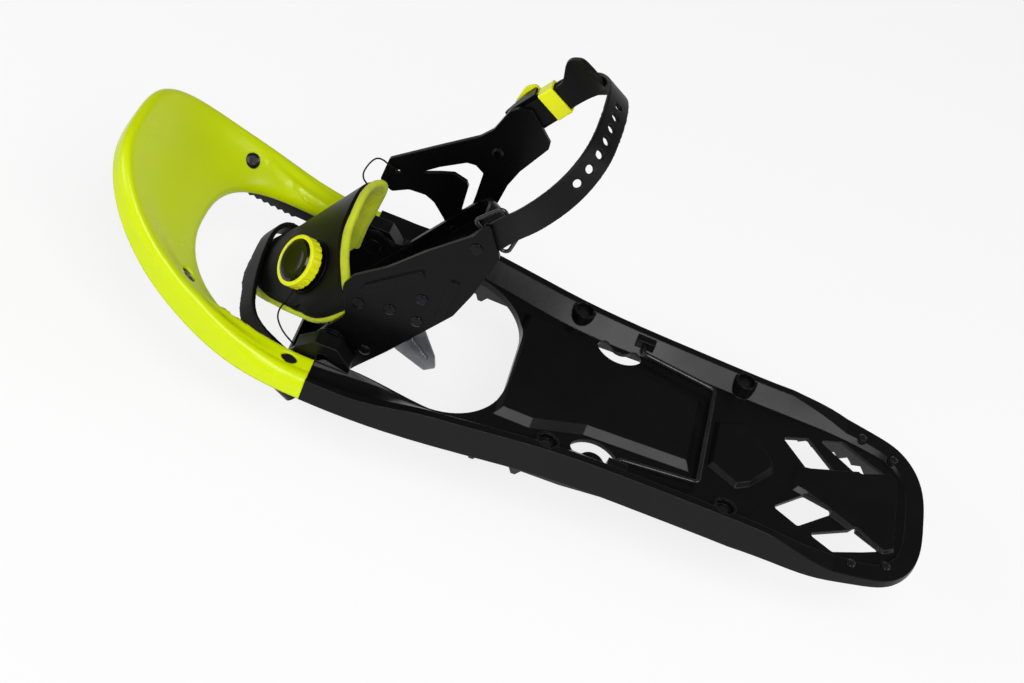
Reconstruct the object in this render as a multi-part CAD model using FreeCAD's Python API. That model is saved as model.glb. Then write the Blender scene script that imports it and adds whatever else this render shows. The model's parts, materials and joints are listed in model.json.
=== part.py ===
import FreeCAD, Part
import math
import os
from FreeCAD import Placement, Rotation, Vector

# One snowshoe of a pair, with a pivoting binding.
# Frame while drawing: +X to the wearer's right, +Y to the toe, +Z up.
# X = 0 is the centre line, Y = 0 the middle of the deck, Z = 0 four millimetres under the rim's crest.

# ---- deck ----
deck_length = 619.0
nose_half_width = 97.2
waist_half_width = 75.7
tail_half_width = 78.0
crest_height = 4.0            # top of the rim
rim_depth = 22.0              # crest to the foot of the outer wall
rim_flare = 4.5               # how far the foot of the outer wall stands out
crest_width = 6.0             # flat part of the crest
shell = 3.0                   # wall of the moulded deck and cap
floor_height = -8.0           # top of the deck's floor
heel_floor_half_width = 60.0  # foot of the rim's inner slope behind the heel
opening_half_width = 74.0
opening_rear_from_toe = 299.5
opening_corner = 50.0
nose_curl_start = 163.75      # from the toe, where the nose begins to rise
nose_rise = 76.5
nose_taper = 217.0            # from the toe, where the nose is widest
nose_power = 3.0              # 2 is an ellipse, more is squarer
nose_steps = 6
plateau_height = 5.5          # raised middle of the heel area
plateau_slope = 6.0
tail_plateau_height = 3.5
tail_fade_from = 114.0        # from the tail, where the rim begins to sink
tail_fade_to = 66.0
tail_rim_step = 4.0           # the tail's rim above the floor
tail_ramp_length = 50.0       # the floor rises to the rim over this length
tail_foot_from = 145.0        # from the tail, where the foot of the outer wall begins to rise
tail_foot_height = -7.0       # the foot at the tip of the tail
kidney_centre_x = 63.0        # curved slot beside the heel area
kidney_bend = 14.5
kidney_half_width = 5.5
kidney_ahead = 16.0           # its centre ahead of the heel lift's pivot

# ---- toe cap ----
cap_length = 170.0            # toe tip to the cap's rear edge
cap_opening_half_width = 74.0
cap_opening_reach = 88.0      # from the widest point of the toe opening to its front
cap_opening_from_toe = 148.0  # widest point of the toe opening
cap_opening_power = 2.5
cap_first_angle = 11.0        # place on the nose outline beside the opening's widest point
cap_proud = 1.2               # step from the deck's wall up to the cap
cap_inner_drop = 15.0         # the cap's upper face falls towards the opening
cap_lip = 7.0
horn_from_toe = 62.0          # the deck's two arms end here, inside the cap
horn_thickness = 4.5
horn_side_gap = 6.0
horn_top_gap = 1.0            # cap's skin to the arm under it
hidden_gap = 0.5              # clearance between pieces of one body

# ---- rivets of the deck ----
deck_rivet_radius = 2.4
deck_rivet_head_radius = 5.6
deck_rivet_head = 1.6
rivet_hole_gap = 0.06
pocket_radius = 6.6
pocket_depth = 5.0
cap_rivet_rear_from_toe = 154.0
cap_rivet_inset = 9.0         # from the opening's edge
cap_front_rivet_inset = 18.0
cap_front_rivet_angle = 38.0
deck_rivet_front_from_tail = 282.0
deck_rivet_rear_from_tail = 151.0
deck_rivet_inset = 9.0        # from the outer edge of the crest
deck_rivet_foot_radius = 3.0
deck_rivet_foot = 1.2
tail_rivet_radius = 1.6
tail_rivet_head_radius = 3.4
tail_rivet_head = 1.2
tail_rivet_front_from_tail = 53.0
tail_rivet_front_inset = 9.5
tail_rivet_rear_from_tail = 27.0
tail_rivet_rear_inset = 12.5

# ---- steel rails ----
rail_thickness = 2.0
rail_inset = 3.5              # blade to the opening's edge
rail_above_foot = 6.0         # flange above the foot of the deck's outer wall
rail_blade = 16.0             # flange to the root of the teeth
rail_tooth = 5.0
rail_tooth_pitch = 31.0
rail_fine_pitch = 5.5
rail_flange = 9.0
rail_front_from_toe = 63.0
rail_teeth_from_tail = 262.0  # the last tooth
rail_rear_from_tail = 219.5
rail_rear_taper = 4.0
rail_fine_teeth = 9
rail_front_bend = 210.0       # radius of the rail's curve towards the toe
rail_rear_half_width = 72.0
rail_bend_from_toe = 283.0    # from here back the rail leans inwards
tail_rail_blade = 11.0
tail_rail_tooth = 4.5
tail_rail_pitch = 11.0

# ---- heel lift ----
bail_wire_radius = 1.8
bail_bend_radius = 4.0
bail_half_width = 57.0
bail_crossbar_half_width = 49.0
bail_reach = 59.0
bail_pivot_from_tail = 231.0
bail_height = -2.0
bail_pin_half_width = 68.0    # tip of the turned-out ends
running_gap = 0.06

# ---- pivot ----
pivot_from_toe = 174.0
pivot_height = -2.0
pivot_pin_radius = 4.0
pivot_head_radius = 6.4
pivot_head = 1.5
pivot_boss_radius = 11.5
lug_half_length = 20.0
lug_face_half_width = 60.6    # inner face of the lug
washer_thickness = 1.6
washer_radius = 8.0
binding_lift = 60.0           # heel-up angle in which the shoe is drawn

# ---- binding, in its own frame: pivot axis at the origin, sole level ----
wing_half_width = 56.0        # outer face of both wings
wing_thickness = 3.0
hub_thickness = 2.6
tray_bottom = -26.0
tray_floor = 4.0
tray_toe = 78.0
tray_heel = 114.0
tray_lip = 14.0
tray_wall = 3.5
tray_toe_corner = 14.0
tray_heel_corner = 18.0
tray_rib = 1.2
wing_rivet_radius = 2.2
wing_rivet_head_radius = 4.2
wing_rivet_head = 1.4
crampon_sheet = 2.2
crampon_half_width = 43.2
crampon_toe = 72.0
crampon_heel = 68.0
front_claw_drop = 24.0
rear_claw_drop = 35.0

# ---- instep wrap, liner and toe strap ----
wrap_thickness = 3.0
wrap_side_gap = 0.3           # wrap to the inner face of the wings
wrap_front = 38.0
wrap_rear = 48.0
liner_thickness = 2.4
liner_gap = 0.15
liner_margin = 6.0
toe_strap_width = 14.0
toe_strap_thickness = 3.2
toe_strap_front = 53.5

# ---- dial lace closure ----
dial_x = -22.0
dial_back = 7.0               # behind the pivot, measured along the foot
dial_tilt = 27.0
dial_radius = 18.5
dial_face_radius = 15.6
dial_flange_radius = 19.5
dial_flange = 2.4
dial_wall_radius = 15.0
dial_bore_radius = 12.0
dial_wall_height = 5.0
dial_floor = 1.2
knob_bottom = 5.6             # heights over the housing's foot
knob_top = 13.9
face_seat = 0.6               # the face sits this far below the knob's top
face_bulge = 0.8
port_height = 3.8
spindle_radius = 2.2
sleeve_radius = 4.0
spool_radius = 10.6
spool_drum_radius = 8.0
spool_rim = 0.6
spool_gap = 0.6               # the spool above the housing's floor
lace_radius = 0.6
lace_hole_radius = 1.2
dial_flutes = 20

# ---- heel strap and buckle ----
strap_width = 19.0
strap_thickness = 2.6
strap_hole_radius = 2.9
strap_hole_pitch = 11.5
strap_holes = 7
pad_thickness = 3.0
pad_middle = 17.5             # height of the buckle side above the pivot
pad_neck_width = 18.5
strap_buckle_x = 62.4
strap_start_half_width = 51.4
strap_bend_from = 157.0       # behind the pivot, where the strap leaves the left wing's plane
strap_bend_to = 202.0         # and where it runs straight again into the buckle
keeper_front = 186.0          # behind the pivot
keeper_length = 12.0
keeper_wall = 1.6
keeper_gap = 0.35
frame_front = 156.0
frame_rear = 183.0
frame_sheet = 1.4
frame_height = 11.0
cheek_gap = 1.1               # strap's edge to the buckle's cheek
cheek_sheet = 1.6
lever_pin_radius = 1.6
lever_pin_back = 178.5
lever_sheet = 2.2
loop_wire_radius = 1.3
loop_front = 151.0            # front leg of the ring behind the pivot
loop_rear = 174.0
loop_low = -13.0
loop_high = 19.0
strap_first_hole = 103.5      # along the strap from its riveted end
strap_rivet_spot = (142.0, 4.0)
pad_rivet_spot = (134.0, 10.0)
wrap_rivet_back = 42.0
right_wrap_rivet_back = -20.0
wrap_rivet_height = 13.5
toe_strap_rivet_height = -16.0
lace_left_back = -30.0
lace_left_height = 3.0
lace_right_back = 63.0
lace_right_height = 38.0
lace_guide_x = 45.0
lace_guide_back = 42.0
dial_seat_height = 40.6
cap_seat_depth = 1.4          # the rivet heads sink this deep into the cap

toe_y = deck_length / 2
tail_y = -deck_length / 2
opening_rear_y = toe_y - opening_rear_from_toe
cap_rear_y = toe_y - cap_length
curl_start_y = toe_y - nose_curl_start
curl_radius = (nose_curl_start ** 2 + nose_rise ** 2) / (2 * nose_rise)
nose_centre_y = toe_y - nose_taper
cap_opening_y = toe_y - cap_opening_from_toe
pivot_y = toe_y - pivot_from_toe
rim_foot_height = crest_height - rim_depth
tail_fade_start = tail_y + tail_fade_from
tail_fade_end = tail_y + tail_fade_to
tail_rim_height = floor_height + tail_rim_step
bail_pivot_y = tail_y + bail_pivot_from_tail
bail_crossbar_y = bail_pivot_y - bail_reach
rail_top = rim_foot_height + rail_above_foot
rail_half_width = opening_half_width + rail_inset
lug_outer_half_width = cap_opening_half_width - hidden_gap
tray_half_width = wing_half_width - wing_thickness
wing_inner = wing_half_width - wing_thickness
wrap_middle_half_width = wing_inner - wrap_side_gap - wrap_thickness / 2


# ---------- small helpers ----------

def block(x0, x1, y0, y1, z0, z1):
    return Part.makeBox(x1 - x0, y1 - y0, z1 - z0, Vector(x0, y0, z0))


def rod(start, axis, radius, length):
    return Part.makeCylinder(radius, length, start, axis)


def both_sides(shape):
    """the shape and its mirror image across the centre line, kept as two solids"""
    return Part.makeCompound([shape, shape.mirror(Vector(0, 0, 0), Vector(1, 0, 0))])


def mirrored(shape):
    return shape.mirror(Vector(0, 0, 0), Vector(1, 0, 0))


def prism(corners, travel):
    wire = Part.makePolygon(corners + [corners[0]])
    return Part.Face(wire).extrude(travel)


def rounded_prism(corners, radii, travel):
    """a prism on a flat outline whose corners are rounded, one radius for each corner"""
    count = len(corners)
    ends = []
    for i in range(count):
        here = corners[i]
        back = (corners[i - 1] - here).normalize()
        ahead = (corners[(i + 1) % count] - here).normalize()
        half = back.getAngle(ahead) / 2
        reach = radii[i] / math.tan(half)
        middle = (back + ahead).normalize() * (radii[i] / math.sin(half) - radii[i])
        ends.append((here + back * reach, here + middle, here + ahead * reach))
    edges = []
    for i in range(count):
        if radii[i] > 0:
            edges.append(Part.Arc(*ends[i]).toShape())
        edges.append(Part.makeLine(ends[i][2], ends[(i + 1) % count][0]))
    return Part.Face(Part.Wire(edges)).extrude(travel)


def smooth_ring(right_side):
    """closed smooth outline from points down the right side, mirrored to the left"""
    left_side = [Vector(-p.x, p.y, p.z) for p in reversed(right_side[1:-1])]
    curve = Part.BSplineCurve()
    curve.interpolate(Points=right_side + left_side, PeriodicFlag=True)
    return Part.Wire([curve.toShape()])


def loft(wires, ruled=True):
    return Part.makeLoft(wires, True, ruled)


# ---------- shared outlines ----------

def rise(y):
    """how far the nose has curled up at y"""
    run = max(0.0, y - curl_start_y)
    return curl_radius - math.sqrt(curl_radius ** 2 - run ** 2)


def squared_arc(half_width, centre_y, reach, power, angle):
    """point of a squared-off ellipse, at its widest for 0 degrees and at its tip for 90"""
    a = math.radians(angle)
    return Vector(half_width * math.cos(a) ** (2 / power), centre_y + reach * math.sin(a) ** (2 / power), 0)


def nose_point(angle):
    return squared_arc(nose_half_width, nose_centre_y, nose_taper, nose_power, angle)


def nose_width_at(y):
    share = max(0.0, y - nose_centre_y) / nose_taper
    return nose_half_width * (1.0 - share ** nose_power) ** (1.0 / nose_power)


def rim_points():
    """crest of the rim from the toe down the right side to the tail"""
    points = []
    for i in range(nose_steps + 1):
        place = nose_point(90.0 - 90.0 * i / nose_steps)
        points.append((place.x, place.y))
    shoulder = nose_half_width
    waist = waist_half_width
    for y_from_tail, half_width in ((367.0, 0.964 * shoulder), (327.0, 0.55 * shoulder + 0.45 * waist),
                                    (281.0, 1.063 * waist), (208.0, 1.01 * waist), (165.0, waist)):
        points.append((half_width, tail_y + y_from_tail))
    for share, y_from_tail in ((0.98, 112.0), (1.0, 78.0), (0.933, 48.0), (0.84, 25.0), (0.615, 9.5), (0.0, 2.0)):
        points.append((share * tail_half_width, tail_y + y_from_tail))
    return points


def offset_points(points, distance):
    """points moved outwards along the outline's normal, the two on the centre line along Y"""
    moved = []
    for i, (x, y) in enumerate(points):
        if i == 0:
            moved.append((0.0, y + distance))
        elif i == len(points) - 1:
            moved.append((0.0, y - distance))
        else:
            dx = points[i + 1][0] - points[i - 1][0]
            dy = points[i + 1][1] - points[i - 1][1]
            size = math.hypot(dx, dy)
            moved.append((x - dy / size * distance, y + dx / size * distance))
    return moved


def rim_ring(offset, z):
    return smooth_ring([Vector(x, y, z) for x, y in offset_points(rim_points(), offset)])


def rim_half_width(y):
    """half-width of the crest at y"""
    edge = rim_ring(0.0, 0.0).Edges[0]
    cut = edge.section(prism([Vector(0, y, -1), Vector(200, y, -1), Vector(200, y + 0.001, -1),
                              Vector(0, y + 0.001, -1)], Vector(0, 0, 2)))
    return max(v.X for v in cut.Vertexes)


def rim_body(offset, z_low, z_high):
    """solid inside the rim's outer wall, which leans outwards on its way down"""
    low = offset + rim_flare * (crest_height - z_low) / rim_depth
    high = offset + rim_flare * (crest_height - z_high) / rim_depth
    return loft([rim_ring(low, z_low), rim_ring(high, z_high)])


def pocket_body(grow, z_low, z_high):
    """the trough between the rim's inner slopes, open to the front"""
    crest = offset_points(rim_points(), -crest_width)[nose_steps:]
    foot = []
    for x, y in crest:
        behind = max(0.0, min(1.0, (opening_rear_y + 50.0 - y) / 90.0))
        half_width = opening_half_width + 2.0 - (opening_half_width + 2.0 - heel_floor_half_width) * behind
        foot.append((min(half_width, x * 0.86), y + 10.0 * max(0.0, (-y + tail_y + 60.0) / 60.0)))
    rings = []
    for z in (z_low, z_high):
        share = (z - floor_height) / (crest_height - floor_height)
        side = [Vector(0, cap_rear_y + 30.0, z)]
        side.append(Vector(foot[0][0] + (crest[0][0] - foot[0][0]) * share + grow, cap_rear_y + 20.0, z))
        for (xf, yf), (xc, yc) in zip(foot[:-1], crest[:-1]):
            side.append(Vector(xf + (xc - xf) * share + grow, yf + (yc - yf) * share, z))
        side.append(Vector(0, foot[-1][1] + (crest[-1][1] - foot[-1][1]) * share - grow, z))
        rings.append(smooth_ring(side))
    return loft(rings)


def pad_body(corners, slope, z_low, z_high):
    """low raised pad with sloping sides, corners given at its top on the right, front to back"""
    rings = []
    for z, grow in ((z_low, slope), (z_high, 0.0)):
        right = [Vector(x + grow, y, z) for x, y in corners]
        right[0].y += grow
        right[-1].y -= grow
        left = [Vector(-p.x, p.y, p.z) for p in reversed(right)]
        rings.append(Part.makePolygon(right + left + [right[0]]))
    return loft(rings)


# ---------- deck ----------

def opening_corners(grow):
    """rear part of the big opening, rounded behind and open to the front"""
    side = opening_half_width + grow
    rear = opening_rear_y - grow
    return [Vector(side, cap_rear_y + 60, 0), Vector(-side, cap_rear_y + 60, 0),
            Vector(-side, rear, 0), Vector(side, rear, 0)]


def opening_body(grow, z_low, z_high):
    corners = [c + Vector(0, 0, z_low) for c in opening_corners(grow)]
    radii = [0, 0, opening_corner + grow, opening_corner + grow]
    return rounded_prism(corners, radii, Vector(0, 0, z_high - z_low))


def tail_relief(drop):
    """everything above the fading rim of the tail"""
    fade = [(tail_fade_start, crest_height), (tail_fade_end, tail_rim_height), (tail_y - 20, tail_rim_height),
            (tail_y - 20, crest_height + 40), (tail_fade_start + 40, crest_height + 40),
            (tail_fade_start + 40, crest_height + 5)]
    return prism([Vector(-200, y, z - drop) for y, z in fade], Vector(400, 0, 0))


def tail_ramp():
    """the tail's floor, rising to meet its rim"""
    start = tail_y + tail_ramp_length
    low = floor_height - shell
    outline = [(start, floor_height - 0.5), (tail_y - 5.0, tail_rim_height), (tail_y - 5.0, low), (start, low)]
    slab = prism([Vector(-nose_half_width, y, z) for y, z in outline], Vector(2 * nose_half_width, 0, 0))
    return slab.common(rim_body(-1.0, rim_foot_height, crest_height))


def tail_underside():
    """everything under the rising foot of the tail's outer wall"""
    start = tail_y + tail_foot_from
    deep = rim_foot_height - rim_depth
    outline = [(start, rim_foot_height - 0.5), (tail_y - 5.0, tail_foot_height), (tail_y - 5.0, deep), (start, deep)]
    return prism([Vector(-nose_half_width, y, z) for y, z in outline], Vector(2 * nose_half_width, 0, 0))


def tail_window(corners):
    """slanted window of the tail, right side"""
    outline = [Vector(x, tail_y + y, -60) for x, y in corners]
    return rounded_prism(outline, [2.5, 2.5, 2.5, 2.5], Vector(0, 0, 120))


def kidney_hole():
    """curved slot beside the heel area, right side"""
    bend = Vector(kidney_centre_x, bail_pivot_y + kidney_ahead, -60)
    tall = 120
    ring = rod(bend, Vector(0, 0, 1), kidney_bend + kidney_half_width, tall)
    ring = ring.cut(rod(bend, Vector(0, 0, 1), kidney_bend - kidney_half_width, tall))
    reach = kidney_bend + kidney_half_width + 1
    wedge = prism([bend, bend + Vector(-reach, reach * 1.4, 0), bend + Vector(-2 * reach, 0, 0),
                   bend + Vector(-reach, -reach * 1.4, 0)], Vector(0, 0, tall))
    slot = ring.common(wedge)
    for direction in (Vector(-1, 1.4, 0), Vector(-1, -1.4, 0)):
        end = bend + direction.normalize() * kidney_bend
        slot = slot.fuse(rod(end, Vector(0, 0, 1), kidney_half_width, tall))
    return slot


def rivet_spots():
    """centres of the deck's four crest rivets on the right side: (x, y)"""
    spots = []
    for y in (tail_y + deck_rivet_front_from_tail, tail_y + deck_rivet_rear_from_tail):
        spots.append((rim_half_width(y) - deck_rivet_inset, y))
    return spots


def tail_rivet_spots():
    """centres of the tail's two small rivets on the right side, front to back"""
    spots = []
    for from_tail, inset in ((tail_rivet_front_from_tail, tail_rivet_front_inset),
                             (tail_rivet_rear_from_tail, tail_rivet_rear_inset)):
        spots.append((rim_half_width(tail_y + from_tail) - inset, tail_y + from_tail))
    return spots


def heel_plateau():
    front = opening_rear_y - 2.0
    return [(50.0, front), (50.0, opening_rear_y - 24.0), (36.0, opening_rear_y - 62.0), (31.0, bail_crossbar_y + 11.0)]


def rear_plateau():
    return [(20.0, bail_crossbar_y - 9.0), (31.0, bail_crossbar_y - 29.0), (24.0, bail_crossbar_y - 39.0),
            (2.0, bail_crossbar_y - 52.0)]


def tail_plateau():
    return [(10.0, tail_y + 98.0), (12.0, tail_y + 90.0), (39.0, tail_y + 29.0), (34.0, tail_y + 22.0)]


def deck_floor_pads(low, lift, grow):
    pads = []
    for corners, height in ((heel_plateau(), plateau_height), (rear_plateau(), tail_plateau_height),
                            (tail_plateau(), tail_plateau_height)):
        shrunk = [(max(1.0, x + grow), y) for x, y in corners]
        pads.append(pad_body(shrunk, plateau_slope * height / plateau_height, low, lift + height))
    return pads


def arm_section(inner, outer, a0, a1, b_high, b_low):
    """flat bar across the cap's hollow, between two places on the way from its inner to its outer edge"""
    points = []
    for a, b in ((a0, b_high), (a1, b_high), (a1, b_low), (a0, b_low)):
        points.append(cap_point(inner, outer, a, b))
    return Part.makePolygon(points + [points[0]])


def horn():
    """arm of the deck that runs forward inside the cap, right side"""
    root_y = cap_rear_y - 22.0
    pairs = [cap_side(root_y)]
    pairs += [pair for pair in cap_stations() if pair[0].y < toe_y - horn_from_toe]
    wires = []
    for inner, outer in pairs:
        width = (outer - inner).Length
        wires.append(arm_section(inner, outer, horn_side_gap, width - horn_side_gap,
                                 -shell - horn_top_gap, -shell - horn_thickness))
    bar = loft(wires, False)
    joint = []
    for y in (root_y, cap_rear_y - hidden_gap):
        start, end = cap_side(y)
        width = end.x - start.x
        joint.append(arm_section(start, end, horn_side_gap, width - horn_side_gap, -1.5, -shell - horn_thickness))
    deep = rim_foot_height - rim_depth
    outline = [(0.0, deep)] + rail_top_line(0.0, toe_y - horn_from_toe + 60.0, hidden_gap)
    outline.append((outline[-1][0], deep))
    over_rail = prism([Vector(0, y, z) for y, z in outline], Vector(nose_half_width, 0, 0))
    return bar.fuse(loft(joint)).cut(over_rail)


def pivot_lug():
    """ear that carries the pivot pin, right side"""
    low = rim_foot_height + 3.0
    top = pivot_height + pivot_boss_radius
    ear = block(lug_face_half_width, lug_outer_half_width, pivot_y - lug_half_length,
                pivot_y + lug_half_length, low, pivot_height)
    ear = ear.fuse(block(lug_face_half_width, opening_half_width + 2.5, pivot_y - lug_half_length,
                         cap_rear_y - hidden_gap, low, floor_height + 0.5))
    crown = prism([Vector(lug_face_half_width, pivot_y - lug_half_length, pivot_height),
                   Vector(lug_face_half_width, pivot_y - 8.0, top), Vector(lug_face_half_width, pivot_y + 8.0, top),
                   Vector(lug_face_half_width, pivot_y + lug_half_length, pivot_height)],
                  Vector(lug_outer_half_width - lug_face_half_width, 0, 0))
    return ear.fuse(crown)


def deck():
    body = rim_body(0.0, rim_foot_height, crest_height)
    body = body.cut(pocket_body(0.0, floor_height, crest_height + 1.0))
    body = body.cut(tail_relief(0.0))
    for pad in deck_floor_pads(floor_height - 1.0, floor_height, 0.0):
        body = body.fuse(pad)
    hollow = rim_body(-shell, rim_foot_height - 1.0, crest_height - shell)
    hollow = hollow.cut(pocket_body(shell, floor_height - shell, crest_height + 1.0))
    hollow = hollow.cut(tail_relief(shell))
    body = body.cut(hollow)
    for pad in deck_floor_pads(floor_height - shell - 1.0, floor_height - shell, -1.0):
        body = body.cut(pad)
    lip = opening_body(shell, rim_foot_height + 4.0, 0.0).cut(opening_body(0.0, rim_foot_height + 3.0, 1.0))
    lip = lip.common(rim_body(-1.0, rim_foot_height, crest_height - 1.0))
    body = body.fuse(lip.cut(pocket_body(0.0, floor_height, crest_height + 1.0)))
    body = body.fuse(tail_ramp()).cut(tail_underside())
    body = body.cut(opening_body(0.0, -60.0, 60.0))
    body = body.cut(block(-200, 200, cap_rear_y, toe_y + 20, -60, 60))
    for x, y in rivet_spots():
        post = rod(Vector(x, y, rail_top), Vector(0, 0, 1), pocket_radius + 2.0, crest_height - 0.6 - rail_top)
        body = body.fuse(both_sides(post))
    for x, y in tail_rivet_spots():
        post = rod(Vector(x, y, rail_top), Vector(0, 0, 1), tail_rivet_head_radius + 1.6, tail_rim_height - rail_top)
        body = body.fuse(both_sides(post))
    boss = block(heel_floor_half_width + 3.5, heel_floor_half_width + 10.0, bail_pivot_y - 7.0, bail_pivot_y + 7.0,
                 floor_height - 1.0, crest_height - 1.0)
    body = body.fuse(both_sides(boss))
    body = body.fuse(both_sides(pivot_lug()))
    body = body.fuse(both_sides(horn()))
    cutters = [kidney_hole()]
    cutters.append(tail_window([(36, 113.5), (13, 91.5), (20.5, 68.5), (45.5, 93.5)]))
    cutters.append(tail_window([(48, 85.5), (27, 51), (38.5, 29.5), (56.5, 66)]))
    for x, y in rivet_spots():
        cutters.append(rod(Vector(x, y, crest_height - pocket_depth), Vector(0, 0, 1), pocket_radius, 40.0))
        cutters.append(rod(Vector(x, y, -60), Vector(0, 0, 1), deck_rivet_radius + rivet_hole_gap, 120.0))
    for x, y in tail_rivet_spots():
        cutters.append(rod(Vector(x, y, -60), Vector(0, 0, 1), tail_rivet_radius + rivet_hole_gap, 120.0))
    cutters.append(rod(Vector(0, pivot_y, pivot_height), Vector(1, 0, 0), pivot_pin_radius, lug_outer_half_width))
    cutters.append(rod(Vector(heel_floor_half_width, bail_pivot_y, bail_height), Vector(1, 0, 0),
                       bail_wire_radius + running_gap, bail_pin_half_width + 0.5 - heel_floor_half_width))
    for at_rear in (True, False):
        centre, normal = cap_rivet_place(at_rear)
        cutters.append(rod(centre - normal * 30, normal, deck_rivet_radius + rivet_hole_gap, 60.0))
    for cutter in cutters:
        body = body.cut(both_sides(cutter))
    return body


# ---------- toe cap ----------

def cap_place(angle):
    """opening edge and outer edge at an angle round the nose, right side"""
    inner = squared_arc(cap_opening_half_width, cap_opening_y, cap_opening_reach, cap_opening_power, angle)
    return inner, nose_point(cap_first_angle + angle * (90.0 - cap_first_angle) / 90.0)


def cap_side(y):
    """the same two edges straight across at y, behind the round of the opening"""
    return Vector(cap_opening_half_width, y, 0), Vector(nose_width_at(y), y, 0)


def cap_stations():
    """pairs of points (opening edge, outer edge) along the cap's right side, rear end to toe tip"""
    pairs = [cap_side(cap_rear_y), cap_side(cap_rear_y + 13.0)]
    for angle in range(6, 91, 12):
        pairs.append(cap_place(angle))
    return pairs


def cap_point(inner, outer, a, b):
    """point at distance a from the opening's edge and height b over the upper face"""
    width = (outer - inner).Length
    place = inner + (outer - inner) * (a / width)
    fall = cap_inner_drop * (1.0 - min(1.0, max(0.0, a) / (width - 5.0)))
    return Vector(place.x, place.y, crest_height + rise(place.y) + b - fall)


def cap_section(inner, outer):
    width = (outer - inner).Length
    p = cap_proud
    skin = [(0, p - cap_lip), (0.3, p - 1.4), (3.0, p), (0.5 * width, p + 0.8), (width - 7.0, p + 0.3),
            (width - 2.0, p - 1.6), (width + p, p - 6.0), (width + p + 0.6 * rim_flare, p - 14.0),
            (width + p + rim_flare, p - rim_depth)]
    back = [(width + p + rim_flare - shell, p - rim_depth), (width + p + 0.6 * rim_flare - shell, p - 14.0),
            (width + p - shell, p - 7.0), (width - 5.0, p - shell - 1.0), (width - 8.0, p - shell),
            (0.5 * width, p + 0.8 - shell), (shell + 2.0, p - shell), (shell, p - shell - 2.0), (shell, p - cap_lip)]
    edges = []
    for run in (skin, back):
        curve = Part.BSplineCurve()
        curve.interpolate(Points=[cap_point(inner, outer, a, b) for a, b in run])
        edges.append(curve.toShape())
    edges.insert(1, Part.makeLine(edges[0].Vertexes[-1].Point, edges[1].Vertexes[0].Point))
    edges.append(Part.makeLine(edges[2].Vertexes[-1].Point, edges[0].Vertexes[0].Point))
    return Part.Wire(edges)


def cap_rivet_place(at_rear):
    """centre on the skin and upward normal of a cap rivet, right side"""
    if at_rear:
        inner, outer = cap_side(toe_y - cap_rivet_rear_from_toe)
        inset = cap_rivet_inset
    else:
        inner, outer = cap_place(cap_front_rivet_angle)
        inset = cap_front_rivet_inset
    side = cap_point(inner, outer, inset + 2.0, 0.0) - cap_point(inner, outer, inset - 2.0, 0.0)
    middle = inner + (outer - inner) * 0.5
    slope = (rise(middle.y + 2.0) - rise(middle.y - 2.0)) / 4.0
    normal = side.cross(Vector(0, 1, slope))
    if normal.z < 0:
        normal = normal * -1
    return cap_point(inner, outer, inset, cap_proud + 0.4), normal.normalize()


def toe_cap():
    right = cap_stations()
    left = [(Vector(-i.x, i.y, 0), Vector(-o.x, o.y, 0)) for i, o in reversed(right[:-1])]
    cap = loft([cap_section(i, o) for i, o in right + left], False)
    for at_rear in (True, False):
        centre, normal = cap_rivet_place(at_rear)
        seat = rod(centre - normal * cap_seat_depth, normal, deck_rivet_head_radius + 0.4, 12.0)
        hole = rod(centre - normal * 30, normal, deck_rivet_radius + rivet_hole_gap, 60.0)
        cap = cap.cut(both_sides(seat)).cut(both_sides(hole))
    return cap


# ---------- rivets, rails and heel lift of the deck ----------

def dome_head(centre, normal, radius, height):
    """low rivet head with a bevelled rim, its flat side on the given centre"""
    base = rod(centre, normal, radius, height * 0.5)
    crown = Part.makeCone(radius, radius * 0.62, height * 0.5, centre + normal * (height * 0.5), normal)
    return base.fuse(crown)


def rivet(head_seat, normal, radius, length, head_radius, head):
    """shank below the seat and a head on top of it"""
    return rod(head_seat - normal * length, normal, radius, length).fuse(dome_head(head_seat, normal, head_radius, head))


def cap_rivets():
    solids = []
    for at_rear in (True, False):
        centre, normal = cap_rivet_place(at_rear)
        seat = centre - normal * cap_seat_depth
        solids.append(both_sides(rivet(seat, normal, deck_rivet_radius, horn_thickness + 1.5, deck_rivet_head_radius,
                                       deck_rivet_head)))
    return Part.makeCompound(solids)


def deck_rivets():
    solids = []
    up = Vector(0, 0, 1)
    for x, y in rivet_spots():
        seat = Vector(x, y, crest_height - pocket_depth)
        length = seat.z - (rail_top - rail_thickness)
        stem = rivet(seat, up, deck_rivet_radius, length, deck_rivet_head_radius, deck_rivet_head)
        foot = dome_head(Vector(x, y, rail_top - rail_thickness), up * -1, deck_rivet_foot_radius, deck_rivet_foot)
        solids.append(both_sides(stem.fuse(foot)))
    return Part.makeCompound(solids)


def tail_rivets():
    solids = []
    up = Vector(0, 0, 1)
    for x, y in tail_rivet_spots():
        seat = Vector(x, y, tail_rim_height)
        length = seat.z - (rail_top - rail_thickness)
        stem = rivet(seat, up, tail_rivet_radius, length, tail_rivet_head_radius, tail_rivet_head)
        foot = dome_head(Vector(x, y, rail_top - rail_thickness), up * -1, tail_rivet_head_radius - 0.8,
                         tail_rivet_head)
        solids.append(both_sides(stem.fuse(foot)))
    return Part.makeCompound(solids)


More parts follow.
